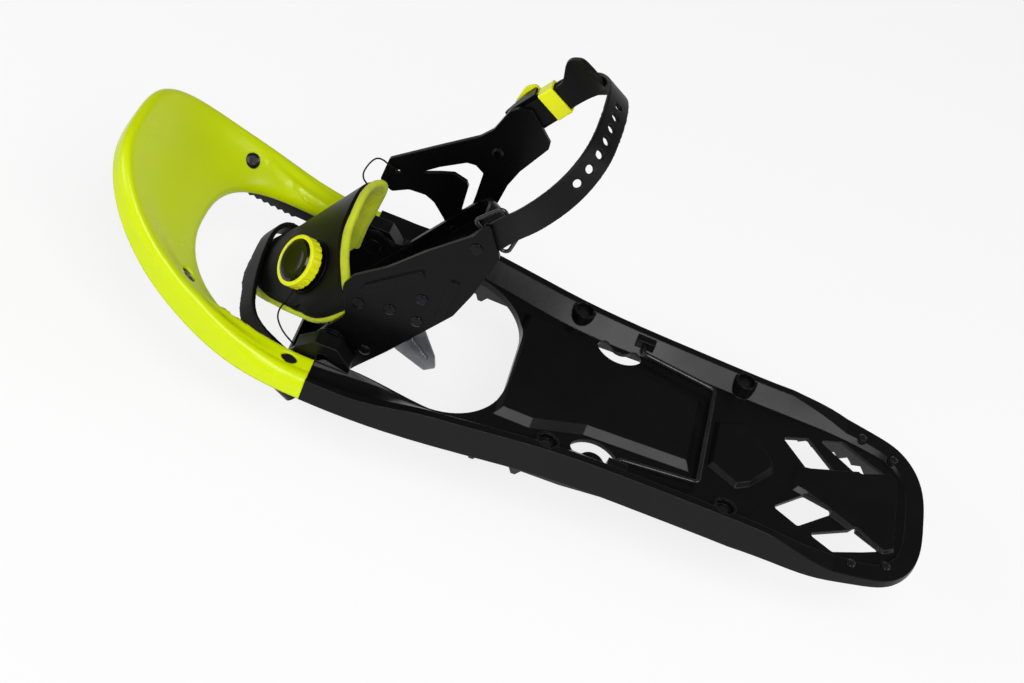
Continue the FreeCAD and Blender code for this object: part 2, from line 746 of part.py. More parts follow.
def rail_region(out, z_low, z_high):
    """everything between the centre line and a line beside the opening, right side"""
    front_y = toe_y - rail_front_from_toe
    rear_y = tail_y + rail_rear_from_tail
    straight_front = cap_opening_y
    straight_rear = toe_y - rail_bend_from_toe
    centre = Vector(rail_half_width - rail_front_bend, straight_front, z_low)
    radius = rail_front_bend + out
    sweep = math.asin((front_y - straight_front) / radius)
    tip = centre + Vector(radius * math.cos(sweep), radius * math.sin(sweep), 0)
    middle = centre + Vector(radius * math.cos(sweep / 2), radius * math.sin(sweep / 2), 0)
    start = centre + Vector(radius, 0, 0)
    corners = [tip, Vector(0, front_y, z_low), Vector(0, rear_y, z_low),
               Vector(rail_rear_half_width + out, rear_y, z_low),
               Vector(rail_half_width + out, straight_rear, z_low), start]
    edges = [Part.makeLine(corners[i], corners[i + 1]) for i in range(len(corners) - 1)]
    edges.append(Part.Arc(start, middle, tip).toShape())
    return Part.Face(Part.Wire(edges)).extrude(Vector(0, 0, z_high - z_low))


def rail_top_line(rear_y, front_y, lift):
    """upper edge of the rail from the rear, following the curl of the nose: (y, z)"""
    steps = 8
    points = [(rear_y, rail_top + lift)]
    for i in range(steps + 1):
        y = curl_start_y + (front_y - curl_start_y) * i / steps
        points.append((y, rail_top + lift + rise(y)))
    return points


def rail_side_outline():
    """side view of the toothed blade: (y, z)"""
    root = rail_top - rail_blade
    front_y = toe_y - rail_front_from_toe
    rear_y = tail_y + rail_rear_from_tail
    last_tooth_y = tail_y + rail_teeth_from_tail
    points = [(front_y, root)]
    y = front_y
    for i in range(rail_fine_teeth):
        points += [(y - rail_fine_pitch * 0.5, root - 2.0), (y - rail_fine_pitch, root)]
        y -= rail_fine_pitch
    while y - rail_tooth_pitch > last_tooth_y + 10.0:
        points += [(y - rail_tooth_pitch + 9.0, root), (y - rail_tooth_pitch + 6.0, root - rail_tooth),
                   (y - rail_tooth_pitch + 3.0, root - rail_tooth), (y - rail_tooth_pitch, root)]
        y -= rail_tooth_pitch
    points += [(last_tooth_y, root), (rear_y, root + rail_rear_taper)]
    return [(y, z + rise(y)) for y, z in points] + rail_top_line(rear_y, front_y, 0.0)


def rail():
    """toothed steel rail under the edge of the opening, right side"""
    low = rail_top - rail_blade - rail_tooth - 1.0
    high = rail_top + rise(toe_y - rail_front_from_toe) + 1.0
    wall = rail_region(rail_thickness, low, high).cut(rail_region(0.0, low - 1.0, high + 1.0))
    blade = wall.common(prism([Vector(0, y, z) for y, z in rail_side_outline()], Vector(nose_half_width, 0, 0)))
    bottom = rail_top - rail_thickness
    flange = rail_region(rail_flange, bottom, rail_top).cut(rail_region(0.5, bottom - 1.0, rail_top + 1.0))
    flange = flange.cut(block(-1, nose_half_width + 20, tail_y, opening_rear_y + 45.0, bottom - 1, rail_top + 1))
    flange = flange.cut(block(-1, nose_half_width + 20, curl_start_y, toe_y, bottom - 1, rail_top + 1))
    x, y = rivet_spots()[0]
    ear = block(x - 8.0, x + 4.5, y - 10.0, y + 10.0, bottom, rail_top)
    body = blade.fuse(flange).fuse(ear)
    return body.cut(rod(Vector(x, y, -60), Vector(0, 0, 1), deck_rivet_radius + rivet_hole_gap, 60.0))


def tail_rail():
    """toothed steel strip under the tail, right side"""
    x0, y0 = rivet_spots()[1]
    (x1, y1), (x2, y2) = tail_rivet_spots()
    bottom = rail_top - rail_thickness
    inner = [(x0 - 6.0, y0 + 7.0), (x1 - 5.5, y1), (x2 - 8.5, y2 - 4.0)]
    outer = [(x2 + 0.5, y2 - 4.0), (x1 + 2.0, y1), (x0 + 2.0, y0 + 7.0)]
    flange = prism([Vector(x, y, bottom) for x, y in inner + outer], Vector(0, 0, rail_thickness))
    low = rail_top - tail_rail_blade - tail_rail_tooth
    wall = prism([Vector(x, y, low) for x, y in inner + [(x + rail_thickness, y) for x, y in reversed(inner)]],
                 Vector(0, 0, rail_top - low))
    root = rail_top - tail_rail_blade
    points = [(y0 + 7.0, rail_top), (y0 + 7.0, root)]
    y = y0 + 4.0
    while y - tail_rail_pitch > y2 - 3.5:
        points += [(y, root), (y - tail_rail_pitch / 2, root - tail_rail_tooth), (y - tail_rail_pitch, root)]
        y -= tail_rail_pitch
    points += [(y2 - 4.0, root), (y2 - 4.0, rail_top)]
    body = flange.fuse(wall.common(prism([Vector(0, y, z) for y, z in points], Vector(nose_half_width, 0, 0))))
    body = body.cut(rod(Vector(x0, y0, -60), Vector(0, 0, 1), deck_rivet_radius + rivet_hole_gap, 60.0))
    for x, y in tail_rivet_spots():
        body = body.cut(rod(Vector(x, y, -60), Vector(0, 0, 1), tail_rivet_radius + rivet_hole_gap, 60.0))
    return body


def round_bar(points, bend, radius, closed=False):
    """round bar along straight runs joined by arcs"""
    count = len(points)
    runs = []
    for i in range(count):
        if closed or 0 < i < count - 1:
            here = points[i]
            back = (points[i - 1] - here).normalize()
            ahead = (points[(i + 1) % count] - here).normalize()
            half = back.getAngle(ahead) / 2
            reach = bend / math.tan(half)
            middle = (back + ahead).normalize() * (bend / math.sin(half) - bend)
            runs.append((here + back * reach, here + middle, here + ahead * reach))
        else:
            runs.append((points[i], None, points[i]))
    edges = []
    for i in range(count):
        if runs[i][1] is not None:
            edges.append(Part.Arc(*runs[i]).toShape())
        if closed or i < count - 1:
            edges.append(Part.makeLine(runs[i][2], runs[(i + 1) % count][0]))
    path = Part.Wire(edges)
    first = edges[0]
    start = first.valueAt(first.FirstParameter)
    circle = Part.Wire([Part.makeCircle(radius, start, first.tangentAt(first.FirstParameter))])
    return path.makePipeShell([circle], True, False)


def heel_bail():
    """bent wire that folds up under the heel"""
    z = bail_height
    points = [Vector(bail_pin_half_width, bail_pivot_y, z), Vector(bail_half_width, bail_pivot_y, z),
              Vector(bail_crossbar_half_width, bail_crossbar_y, z)]
    left = [Vector(-p.x, p.y, p.z) for p in reversed(points)]
    return round_bar(points + left, bail_bend_radius, bail_wire_radius)


def pivot_pins():
    out = Vector(1, 0, 0)
    centre = Vector(wing_inner, pivot_y, pivot_height)
    pin = rod(centre, out, pivot_pin_radius, lug_outer_half_width - wing_inner)
    return both_sides(pin.fuse(rod(centre, out, pivot_head_radius, pivot_head)))


def pivot_washers():
    start = Vector(lug_face_half_width - washer_thickness, pivot_y, pivot_height)
    ring = rod(start, Vector(1, 0, 0), washer_radius, washer_thickness)
    return both_sides(ring.cut(rod(start, Vector(1, 0, 0), pivot_pin_radius, washer_thickness)))


# ---------- binding: drawn level, pivot axis at the origin, +Y to the toe ----------

def side_plate(corners, radii, x0, x1):
    """flat plate across X from an outline of (distance behind the pivot, height)"""
    outline = [Vector(x0, -back, up) for back, up in corners]
    return rounded_prism(outline, radii, Vector(x1 - x0, 0, 0))


def cross_rod(back, up, radius, x0, x1):
    return rod(Vector(x0, -back, up), Vector(1, 0, 0), radius, x1 - x0)


def smooth_line(points):
    curve = Part.BSplineCurve()
    curve.interpolate(Points=points)
    return curve.toShape()


def offset_line(points, distance):
    """points moved to the left of their own direction, in the X-Y plane"""
    moved = []
    last = len(points) - 1
    for i, p in enumerate(points):
        run = points[min(last, i + 1)] - points[max(0, i - 1)]
        run = Vector(run.x, run.y, 0).normalize()
        moved.append(p + Vector(-run.y, run.x, 0) * distance)
    return moved


def strip(points, thickness, height):
    """sheet standing on a smooth line in the X-Y plane"""
    left = smooth_line(offset_line(points, thickness / 2))
    right = smooth_line(offset_line(points, -thickness / 2))
    start = Part.makeLine(right.Vertexes[0].Point, left.Vertexes[0].Point)
    end = Part.makeLine(left.Vertexes[-1].Point, right.Vertexes[-1].Point)
    return Part.Face(Part.Wire([start, left, end, right])).extrude(Vector(0, 0, height))


def arch(points, thickness, back0, back1):
    """sheet bent over the foot: outline of (x, height), from back0 to back1 behind the pivot"""
    flat = strip([Vector(x, up, 0) for x, up in points], thickness, back1 - back0)
    flat.rotate(Vector(0, 0, 0), Vector(1, 0, 0), 90)
    flat.translate(Vector(0, -back0, 0))
    return flat


def footbed():
    corners = [(tray_half_width, tray_toe), (-tray_half_width, tray_toe),
               (-tray_half_width, -tray_heel), (tray_half_width, -tray_heel)]
    radii = [tray_toe_corner, tray_toe_corner, tray_heel_corner, tray_heel_corner]
    tray = rounded_prism([Vector(x, y, tray_bottom) for x, y in corners], radii, Vector(0, 0, tray_lip))
    shrunk = [(x - math.copysign(tray_wall, x), y - math.copysign(tray_wall, y)) for x, y in corners]
    hollow = rounded_prism([Vector(x, y, tray_bottom + tray_floor) for x, y in shrunk],
                           [r - tray_wall for r in radii], Vector(0, 0, tray_lip))
    tray = tray.cut(hollow)
    for y in (56.0, 42.0, 28.0, -30.0, -46.0, -62.0, -78.0):
        tray = tray.fuse(block(-30.0, 30.0, y - 2.0, y + 2.0, tray_bottom + tray_floor - 0.5,
                               tray_bottom + tray_floor + tray_rib))
    window = [Vector(24, 14, tray_bottom - 1), Vector(-24, 14, tray_bottom - 1),
              Vector(-24, -16, tray_bottom - 1), Vector(24, -16, tray_bottom - 1)]
    tray = tray.cut(rounded_prism(window, [8, 8, 8, 8], Vector(0, 0, tray_lip))).cut(tray_rivet_holes())
    for x, y in crampon_rivet_spots():
        tray = tray.cut(rod(Vector(x, y, tray_bottom - 1), Vector(0, 0, 1), wing_rivet_radius, tray_lip))
    return tray


def tray_rivet_holes():
    holes = []
    for side in (-1, 1):
        x0 = side * (tray_half_width - tray_wall) - (1 if side > 0 else -1)
        for back, up in tray_rivet_spots():
            holes.append(cross_rod(back, up, wing_rivet_radius, min(x0, side * 60), max(x0, side * 60)))
        holes.append(cross_rod(-toe_strap_back(), toe_strap_rivet_height, wing_rivet_radius,
                               min(x0, side * 60), max(x0, side * 60)))
    return Part.makeCompound(holes)


def tray_rivet_spots():
    return [(-30.0, -18.0), (17.0, -18.5), (66.0, -19.5)]


def toe_strap_back():
    """how far ahead of the pivot the toe strap's middle is"""
    return toe_strap_front - toe_strap_width / 2


def toe_crampon():
    """steel plate under the tray with claws bent down"""
    top = tray_bottom
    w = crampon_half_width
    plate = rounded_prism([Vector(x, y, top - crampon_sheet) for x, y in
                           ((w, crampon_toe), (-w, crampon_toe), (-w, -crampon_heel), (w, -crampon_heel))],
                          [10, 10, 4, 4], Vector(0, 0, crampon_sheet))
    for y0, y1 in ((50.0, 26.0), (-24.0, -50.0)):
        hole = [Vector(x, y, top - 10) for x, y in ((26, y0), (-26, y0), (-26, y1), (26, y1))]
        plate = plate.cut(rounded_prism(hole, [6, 6, 6, 6], Vector(0, 0, 20)))
    middle = [Vector(x, y, top - 10) for x, y in ((20, 14), (-20, 14), (-20, -14), (20, -14))]
    plate = plate.cut(rounded_prism(middle, [6, 6, 6, 6], Vector(0, 0, 20)))
    bottom = top - crampon_sheet
    claws = []
    for x in (-25.0, 25.0):
        outline = [(x - 10.0, bottom + 1), (x + 10.0, bottom + 1), (x + 10.0, bottom - 6.0),
                   (x + 3.0, bottom - front_claw_drop), (x - 3.0, bottom - front_claw_drop), (x - 10.0, bottom - 6.0)]
        claws.append(prism([Vector(px, crampon_toe - crampon_sheet, pz) for px, pz in outline],
                           Vector(0, crampon_sheet, 0)))
    for side in (-1, 1):
        x0 = side * w - (crampon_sheet if side > 0 else 0)
        outline = [(26.0, bottom + 1), (58.0, bottom + 1), (55.0, bottom - 6.0), (44.5, bottom - rear_claw_drop + 7.0),
                   (38.5, bottom - rear_claw_drop), (30.0, bottom - rear_claw_drop + 3.0), (26.0, bottom - 8.0)]
        claw = side_plate(outline, [0, 0, 3, 3, 1.5, 1.5, 4], x0, x0 + crampon_sheet)
        rib = side_plate([(37.0, bottom - 6.0), (43.0, bottom - 6.0), (39.5, bottom - rear_claw_drop + 8.0),
                          (35.5, bottom - rear_claw_drop + 8.0)], [1.2, 1.2, 1.2, 1.2],
                         side * w - (0 if side > 0 else 1.2), side * w + (1.2 if side > 0 else 0))
        claws.append(claw.fuse(rib))
    for claw in claws:
        plate = plate.fuse(claw)
    for x, y in crampon_rivet_spots():
        plate = plate.cut(rod(Vector(x, y, top - 20), Vector(0, 0, 1), wing_rivet_radius, 40))
    return plate


def crampon_rivet_spots():
    return [(34.0, 20.0), (-34.0, 20.0), (34.0, -20.0), (-34.0, -20.0)]


def crampon_rivets():
    solids = []
    floor = tray_bottom + tray_floor
    bottom = tray_bottom - crampon_sheet
    for x, y in crampon_rivet_spots():
        body = rivet(Vector(x, y, floor), Vector(0, 0, 1), wing_rivet_radius, floor - bottom,
                     wing_rivet_head_radius, wing_rivet_head)
        solids.append(body.fuse(dome_head(Vector(x, y, bottom), Vector(0, 0, -1), wing_rivet_head_radius,
                                          wing_rivet_head)))
    return Part.makeCompound(solids)


def wing_holes(side, spots):
    """holes through one wing: (behind the pivot, height, radius)"""
    holes = []
    for back, up, radius in spots:
        holes.append(cross_rod(back, up, radius, side * wing_half_width - 5.0, side * wing_half_width + 5.0))
    return holes


def wing(side, corners, radii, spots):
    """side plate of the binding with its pivot hub"""
    inner = side * wing_inner
    outer = side * wing_half_width
    plate = side_plate(corners, radii, min(inner, outer), max(inner, outer))
    hub_end = side * (wing_half_width + hub_thickness)
    plate = plate.fuse(cross_rod(0.0, 0.0, pivot_boss_radius, min(outer, hub_end), max(outer, hub_end)))
    bore_end = side * (wing_half_width + hub_thickness + 1.0)
    plate = plate.cut(cross_rod(0.0, 0.0, pivot_pin_radius + running_gap, min(inner, bore_end), max(inner, bore_end)))
    recess_end = side * (wing_inner + pivot_head + running_gap)
    plate = plate.cut(cross_rod(0.0, 0.0, pivot_head_radius + running_gap, min(inner, recess_end),
                                max(inner, recess_end)))
    for hole in wing_holes(side, spots):
        plate = plate.cut(hole)
    return plate


def left_wing():
    corners = [(-42, -26), (0, -26), (30, -28), (91, -29), (114, -23), (150, -10), (156, 2), (164, 16), (147, 12.5),
               (112, 20), (80, 24.5), (55, 32), (43, 30), (27, 11), (-10, 10), (-34, 9), (-40, 0)]
    radii = [4, 20, 20, 8, 8, 4, 20, 3, 8, 20, 20, 5, 5, 8, 10, 4, 8]
    spots = [(back, up, wing_rivet_radius) for back, up in tray_rivet_spots() + left_wing_rivet_spots()]
    spots.append((wrap_rivet_back, wrap_rivet_height, wing_rivet_radius))
    spots.append((lace_left_back, lace_left_height, lace_hole_radius))
    body = wing(-1, corners, radii, spots)
    return body.fuse(left_wing_ribs())


def left_wing_ribs():
    """raised ribs on the outer face of the left wing"""
    ribs = []
    for corners in ([(47, 20), (58, 23), (90, 13.5), (100, 10), (97, 5), (86, 7), (58, 15.5)],
                    [(79, -23), (83, -26.5), (86, -26.5), (114, -11), (110, -6)]):
        ribs.append(side_plate(corners, [1.5] * len(corners), -wing_half_width - 1.4, -wing_half_width + 0.5))
    return ribs[0].fuse(ribs[1])


def right_wing():
    corners = [(-42, -26), (0, -26), (30, -28), (96, -28), (105, -22), (122, -14), (137, -10), (166, -7), (170, -4),
               (177, 23), (170, 29), (163, 31), (144, 26), (132, 27), (99, 38), (65, 49), (47, 40), (47, 28), (59, 22),
               (66, 12), (67, 4), (63, -12), (53, -19), (24, -19), (14, -8), (12, 5), (0, 20), (-34, 20), (-40, 0)]
    radii = [4, 20, 20, 8, 8, 8, 8, 2, 2, 4, 4, 4, 8, 8, 20, 3, 4, 3, 5, 4, 4, 5, 5, 5, 5, 5, 4, 4, 8]
    spots = [(back, up, wing_rivet_radius) for back, up in tray_rivet_spots() + [pad_rivet_spot]]
    spots.append((right_wrap_rivet_back, wrap_rivet_height, wing_rivet_radius))
    spots.append((lace_right_back, lace_right_height, lace_hole_radius + 0.5))
    body = wing(1, corners, radii, spots)
    chevron = side_plate([(74, 29), (91, 24), (110, 16), (114, 11), (114, 3), (97, -8), (82, -17), (78, -13),
                          (97, 0), (99, 4), (96, 14), (88, 20)],
                         [0.8, 6, 2, 2, 2, 3, 1.5, 1.5, 1.5, 1.5, 3, 4], wing_half_width - 5, wing_half_width + 5)
    return body.cut(chevron)


def through_rivet(side, back, up, x_inner, x_outer):
    """rivet across the wing with a head outside and its tail flush inside"""
    outer = Vector(side * x_outer, -back, up)
    out = Vector(side, 0, 0)
    return rivet(outer, out, wing_rivet_radius, x_outer - x_inner, wing_rivet_head_radius, wing_rivet_head)


def wing_rivets():
    solids = []
    for side in (-1, 1):
        for back, up in tray_rivet_spots():
            solids.append(through_rivet(side, back, up, tray_half_width - tray_wall, wing_half_width))
    for back, up in left_wing_rivet_spots():
        if (back, up) != strap_rivet_spot:
            body = through_rivet(-1, back, up, wing_inner, wing_half_width)
            solids.append(body.fuse(dome_head(Vector(-wing_inner, -back, up), Vector(1, 0, 0),
                                              wing_rivet_head_radius, wing_rivet_head)))
    return Part.makeCompound(solids)


def left_wing_rivet_spots():
    return [(57.0, -2.0), (82.0, -7.5), strap_rivet_spot]


def wrap_rivets():
    inside = wrap_middle_half_width - wrap_thickness / 2 - liner_gap - liner_thickness
    left = through_rivet(-1, wrap_rivet_back, wrap_rivet_height, inside, wing_half_width)
    right = through_rivet(1, right_wrap_rivet_back, wrap_rivet_height, inside, wing_half_width)
    return Part.makeCompound([left, right])


def toe_strap():
    """band over the toes"""
    edge = tray_half_width - tray_wall - toe_strap_thickness / 2
    points = [(-edge, tray_bottom + 6.0), (-edge, 0.0), (-edge - 0.4, 22.0), (-44.0, 39.0), (-25.0, 49.0), (0.0, 54.0),
              (24.0, 56.0), (44.0, 53.5), (56.0, 45.0), (58.5, 32.0), (54.0, 12.0), (edge + 0.8, -4.0),
              (edge, tray_bottom + 14.0), (edge, tray_bottom + 6.0)]
    band = arch(points, toe_strap_thickness, -toe_strap_front, -toe_strap_front + toe_strap_width)
    for side in (-1, 1):
        band = band.cut(cross_rod(-toe_strap_back(), toe_strap_rivet_height, wing_rivet_radius,
                                  min(side * 40, side * 60), max(side * 40, side * 60)))
    return band


def toe_strap_rivets():
    inside = tray_half_width - tray_wall - toe_strap_thickness
    solids = []
    for side in (-1, 1):
        solids.append(through_rivet(side, -toe_strap_back(), toe_strap_rivet_height, inside, tray_half_width))
    return Part.makeCompound(solids)


def wrap_line(inset):
    """section of the instep wrap from left to right: (x, height), moved inwards by inset"""
    w = wrap_middle_half_width
    outer = [(-w, 8.0), (-w, 13.0), (-w, 18.0), (-w + 2.6, 25.0), (-40.0, 31.0), (-22.0, 39.2), (-5.0, 45.8),
             (12.0, 49.4), (28.0, 49.2), (41.0, 45.0), (w - 2.0, 35.5), (w, 24.0), (w, 16.0), (w, 8.0)]
    flat = offset_line([Vector(x, up, 0) for x, up in outer], -inset)
    return [(p.x, p.y) for p in flat]


def front_recess(grow):
    """part cut away from the wrap's front left corner, as two prisms"""
    plan = [(-80.0, -90.0), (-20.0, -90.0), (-20.0, -wrap_front - grow),
            (-35.0, -27.0 - grow), (-47.0, -4.0 - grow), (-80.0, -4.0 - grow)]
    above = prism([Vector(x, -back, -10.0) for x, back in plan], Vector(0, 0, 90.0))
    side = [(-10.0, 5.0), (27.0 - grow, 5.0), (27.0 - grow, 9.0), (4.0 - grow, 17.0), (-4.0 - grow, 30.0), (-10.0, 30.0)]
    low = prism([Vector(-80.0, -back, up) for back, up in side], Vector(36.0, 0, 0))
    return Part.makeCompound([above, low])


def rear_recess(grow):
    """part cut away from the wrap's rear right side"""
    side = [(-30.0, -10.0), (-17.0 + grow, 0.0), (14.0 + grow, 17.0), (38.0 + grow, 26.5), (80.0, 47.0), (90.0, -10.0)]
    return prism([Vector(38.0, -back, up) for back, up in side], Vector(40.0, 0, 0))


def instep_wrap():
    body = arch(wrap_line(0.0), wrap_thickness, -wrap_front, wrap_rear)
    body = body.cut(front_recess(0.0)).cut(rear_recess(-liner_margin))
    body = body.cut(onto_wrap(up_rod(dial_flange_radius, 0.0, 8.0)))
    body = body.cut(cross_rod(wrap_rivet_back, wrap_rivet_height, wing_rivet_radius, -60.0, -40.0))
    body = body.cut(cross_rod(right_wrap_rivet_back, wrap_rivet_height, wing_rivet_radius, 40.0, 60.0))
    return body.cut(rod(Vector(lace_guide_x, -lace_guide_back, 0), Vector(0, 0, 1), lace_hole_radius, 90.0))


def liner():
    inset = wrap_thickness / 2 + liner_gap + liner_thickness / 2
    body = arch(wrap_line(inset), liner_thickness, -wrap_front - liner_margin, wrap_rear + liner_margin)
    body = body.cut(front_recess(liner_margin)).cut(rear_recess(0.0))
    body = body.cut(cross_rod(wrap_rivet_back, wrap_rivet_height, wing_rivet_radius, -60.0, -40.0))
    return body.cut(cross_rod(right_wrap_rivet_back, wrap_rivet_height, wing_rivet_radius, 40.0, 60.0))


# ---------- dial: drawn upright on its own axis, foot of the housing at the origin ----------

def up_rod(radius, z0, z1):
    return rod(Vector(0, 0, z0), Vector(0, 0, 1), radius, z1 - z0)


def dial_housing():
    body = up_rod(dial_flange_radius, 0.0, dial_flange).fuse(up_rod(dial_wall_radius, 0.0, dial_wall_height))
    body = body.cut(up_rod(dial_bore_radius, dial_floor, dial_wall_height + 1.0))
    body = body.cut(up_rod(spindle_radius, -1.0, dial_floor + 1.0))
    port = rod(Vector(0, 0, port_height), Vector(-0.72, 0.69, 0.0), lace_hole_radius - 0.1, 30.0)
    return body.cut(port)


def dial_spindle():
    return up_rod(spindle_radius, 0.0, knob_top - 2 * face_seat)


def dial_spool():
    low = dial_floor + spool_gap
    high = dial_wall_height - 0.4
    body = up_rod(spool_drum_radius, low, high)
    body = body.fuse(up_rod(spool_radius, low, low + spool_rim)).fuse(up_rod(spool_radius, high - spool_rim, high))
    return body.cut(up_rod(spindle_radius + running_gap, 0.0, high + 1.0))


def dial_sleeve():
    body = up_rod(sleeve_radius, dial_wall_height, knob_top - face_seat - 0.4)
    body = body.fuse(up_rod(sleeve_radius + 2.0, dial_wall_height, dial_wall_height + 0.4))
    return body.cut(up_rod(spindle_radius + running_gap, 0.0, knob_top))


def dial_knob():
    """grip ring with flutes, hollow below and recessed for the face"""
    body = up_rod(dial_radius, knob_bottom, knob_top).cut(up_rod(dial_face_radius, knob_top - face_seat, knob_top + 1.0))
    body = body.cut(up_rod(sleeve_radius + running_gap, 0.0, knob_top))
    edge = Part.makeCone(dial_radius + 1.5, dial_radius - 1.5, 3.0, Vector(0, 0, knob_top - 2.0))
    body = body.common(edge.fuse(up_rod(dial_radius + 1.5, knob_bottom - 1.0, knob_top - 2.0)))
    for i in range(dial_flutes):
        angle = 2 * math.pi * i / dial_flutes
        place = Vector((dial_radius + 1.1) * math.cos(angle), (dial_radius + 1.1) * math.sin(angle), 0)
        body = body.cut(rod(place, Vector(0, 0, 1), 1.7, knob_top - 2.4))
    return body


def dial_cap():
    """dished black face pressed into the grip ring"""
    body = up_rod(dial_face_radius, knob_top - face_seat, knob_top)
    body = body.fuse(Part.makeCone(dial_face_radius, dial_face_radius - 2.0, face_bulge, Vector(0, 0, knob_top)))
    dish = Part.makeSphere(60.0, Vector(0, 0, knob_top + 60.0))
    return body.cut(dish)


def onto_wrap(shape):
    """from the dial's own axis to its tilted place on the wrap"""
    placed = shape.copy()
    placed.rotate(Vector(0, 0, 0), Vector(0, 1, 0), -dial_tilt)
    placed.translate(dial_foot())
    return placed


def dial_foot():
    return Vector(dial_x, -dial_back, dial_seat_height)


def dial_point(x, y, z):
    spin = Rotation(Vector(0, 1, 0), -dial_tilt)
    return dial_foot() + spin.multVec(Vector(x, y, z))


# ---------- laces ----------

def lace_left():
    """from the dial's port to the left wing"""
    points = [dial_point(-9.4, 9.0, port_height), dial_point(-17.6, 16.9, port_height), Vector(-42.5, 26.0, 33.4),
              Vector(-46.5, -lace_left_back + 1.0, 22.0), Vector(-49.5, -lace_left_back, lace_left_height + 6.0),
              Vector(-49.5, -lace_left_back, lace_left_height),
              Vector(-wing_half_width + 0.2, -lace_left_back, lace_left_height)]
    return round_bar(points, 2.2, lace_radius)


def lace_right():
    """from the wrap's rear right corner to the right wing's front corner"""
    points = [Vector(lace_guide_x, -lace_guide_back, 45.4), Vector(lace_guide_x, -lace_guide_back, 52.0),
              Vector(51.0, -52.0, 55.5), Vector(51.0, -62.0, 55.0), Vector(51.0, -lace_right_back, 40.0),
              Vector(wing_half_width - 0.4, -lace_right_back, lace_right_height)]
    return round_bar(points, 2.5, lace_radius)


# ---------- heel strap and buckle ----------

def strap_line():
    """middle of the heel strap from the left wing round the heel into the buckle"""
    x = -strap_start_half_width
    places = [(x, 128, 3), (x, 134, 3), (x, 142, 3), (x, 150, 3), (x, 157, 3), (x - 0.3, 165, 3),
              (-54.0, 175, 3.3), (-57.9, 186, 4.2), (-60.6, 199, 5.4),
              (-60.2, 212, 6.2), (-55.5, 225, 6.8), (-48, 236, 8), (-38, 243.3, 9), (-22, 248, 10), (0, 250.3, 11),
              (18, 249.2, 11.2), (33, 245.2, 10.8), (44, 239.5, 10.6), (52.5, 232.5, 11.4), (58.3, 224, 13),
              (61.5, 215, 15.6)]
    for back, up in ((206.5, pad_middle - 0.4), (202, pad_middle), (197, pad_middle), (190, pad_middle),
                     (185, pad_middle), (180, pad_middle), (175, pad_middle), (170, pad_middle), (160, pad_middle)):
        places.append((strap_buckle_x, back, up))
    return [Vector(x, -back, up) for x, back, up in places]


def across(points, i):
    """horizontal direction at right angles to the band at one of its points"""
    last = len(points) - 1
    run = points[min(last, i + 1)] - points[max(0, i - 1)]
    return Vector(-run.y, run.x, 0).normalize()


def heel_strap():
    line = strap_line()
    wires = []
    tall = Vector(0, 0, strap_width / 2)
    for i, middle in enumerate(line):
        thick = across(line, i) * (strap_thickness / 2)
        corners = [middle + thick + tall, middle - thick + tall, middle - thick - tall, middle + thick - tall]
        wires.append(Part.makePolygon(corners + [corners[0]]))
    bend = next(i for i, p in enumerate(line) if p.y <= -strap_bend_from)
    straight = next(i for i, p in enumerate(line) if p.x > 0 and p.y >= -strap_bend_to)
    band = loft(wires[bend:straight + 1], False)
    band = band.fuse(loft([wires[0], wires[bend]])).fuse(loft([wires[straight], wires[-1]]))
    curve = smooth_line(line)
    for share in strap_hole_places(curve):
        spot = curve.valueAt(share)
        run = curve.tangentAt(share)
        normal = Vector(-run.y, run.x, 0).normalize()
        band = band.cut(rod(spot - normal * 8, normal, strap_hole_radius, 16.0))
    hole = cross_rod(strap_rivet_spot[0], strap_rivet_spot[1], wing_rivet_radius, -60.0, -45.0)
    return band.cut(hole)


def strap_hole_places(curve):
    """parameters along the strap of its adjusting holes, evenly spaced"""
    places = []
    length = strap_first_hole
    for i in range(strap_holes):
        places.append(curve.getParameterByLength(length))
        length += strap_hole_pitch
    return places


def strap_rivet():
    back, up = strap_rivet_spot
    inner = -strap_line()[0].x - strap_thickness / 2
    outer = Vector(-wing_half_width, -back, up)
    body = rivet(outer, Vector(-1, 0, 0), wing_rivet_radius, wing_half_width - inner, wing_rivet_head_radius,
                 wing_rivet_head)
    return body.fuse(dome_head(Vector(-inner, -back, up), Vector(1, 0, 0), wing_rivet_head_radius, wing_rivet_head))


def strap_loop():
    """wire ring that ties the strap to the end of the left wing"""
    front = strap_line()[0].x + strap_thickness / 2 + loop_wire_radius
    corners = [Vector(front, -loop_front, loop_low), Vector(front, -loop_front, loop_high),
               Vector(front, -loop_rear, loop_high - 3.0), Vector(front, -loop_rear + 6.0, loop_low + 7.0)]
    return round_bar(corners, 3.5, loop_wire_radius, True)


def strap_pad():
    """stiff backing of the buckle side, riveted to the right wing"""
    x = wing_half_width + pad_thickness / 2
    places = [(x, 122), (x, 135), (x, 150), (x, 165), (x, 180), (x, 192), (x, 200), (x, 205), (56.7, 214), (53.6, 224),
              (48.0, 232.6), (40.5, 237.4)]
    flat = strip([Vector(px, -back, -10.0) for px, back in places], pad_thickness, 60.0)
    low = pad_middle - pad_neck_width / 2
    high = pad_middle + pad_neck_width / 2
    outline = [(124, 2), (150, 3), (165, low), (204, low), (222, low - 0.5), (233, 12), (239, 20), (235, 36), (221, 40),
               (206, high), (165, high), (140, 18), (124, 16)]
    radii = [4, 20, 20, 30, 6, 5, 6, 6, 12, 8, 12, 12, 4]
    shape = flat.common(side_plate(outline, radii, 30.0, 80.0))
    back, up = pad_rivet_spot
    return shape.cut(cross_rod(back, up, wing_rivet_radius, 40.0, 70.0))


def pad_rivet():
    back, up = pad_rivet_spot
    outer = wing_half_width + pad_thickness
    body = through_rivet(1, back, up, wing_inner, outer)
    return body.fuse(dome_head(Vector(wing_inner, -back, up), Vector(-1, 0, 0), wing_rivet_head_radius,
                               wing_rivet_head))


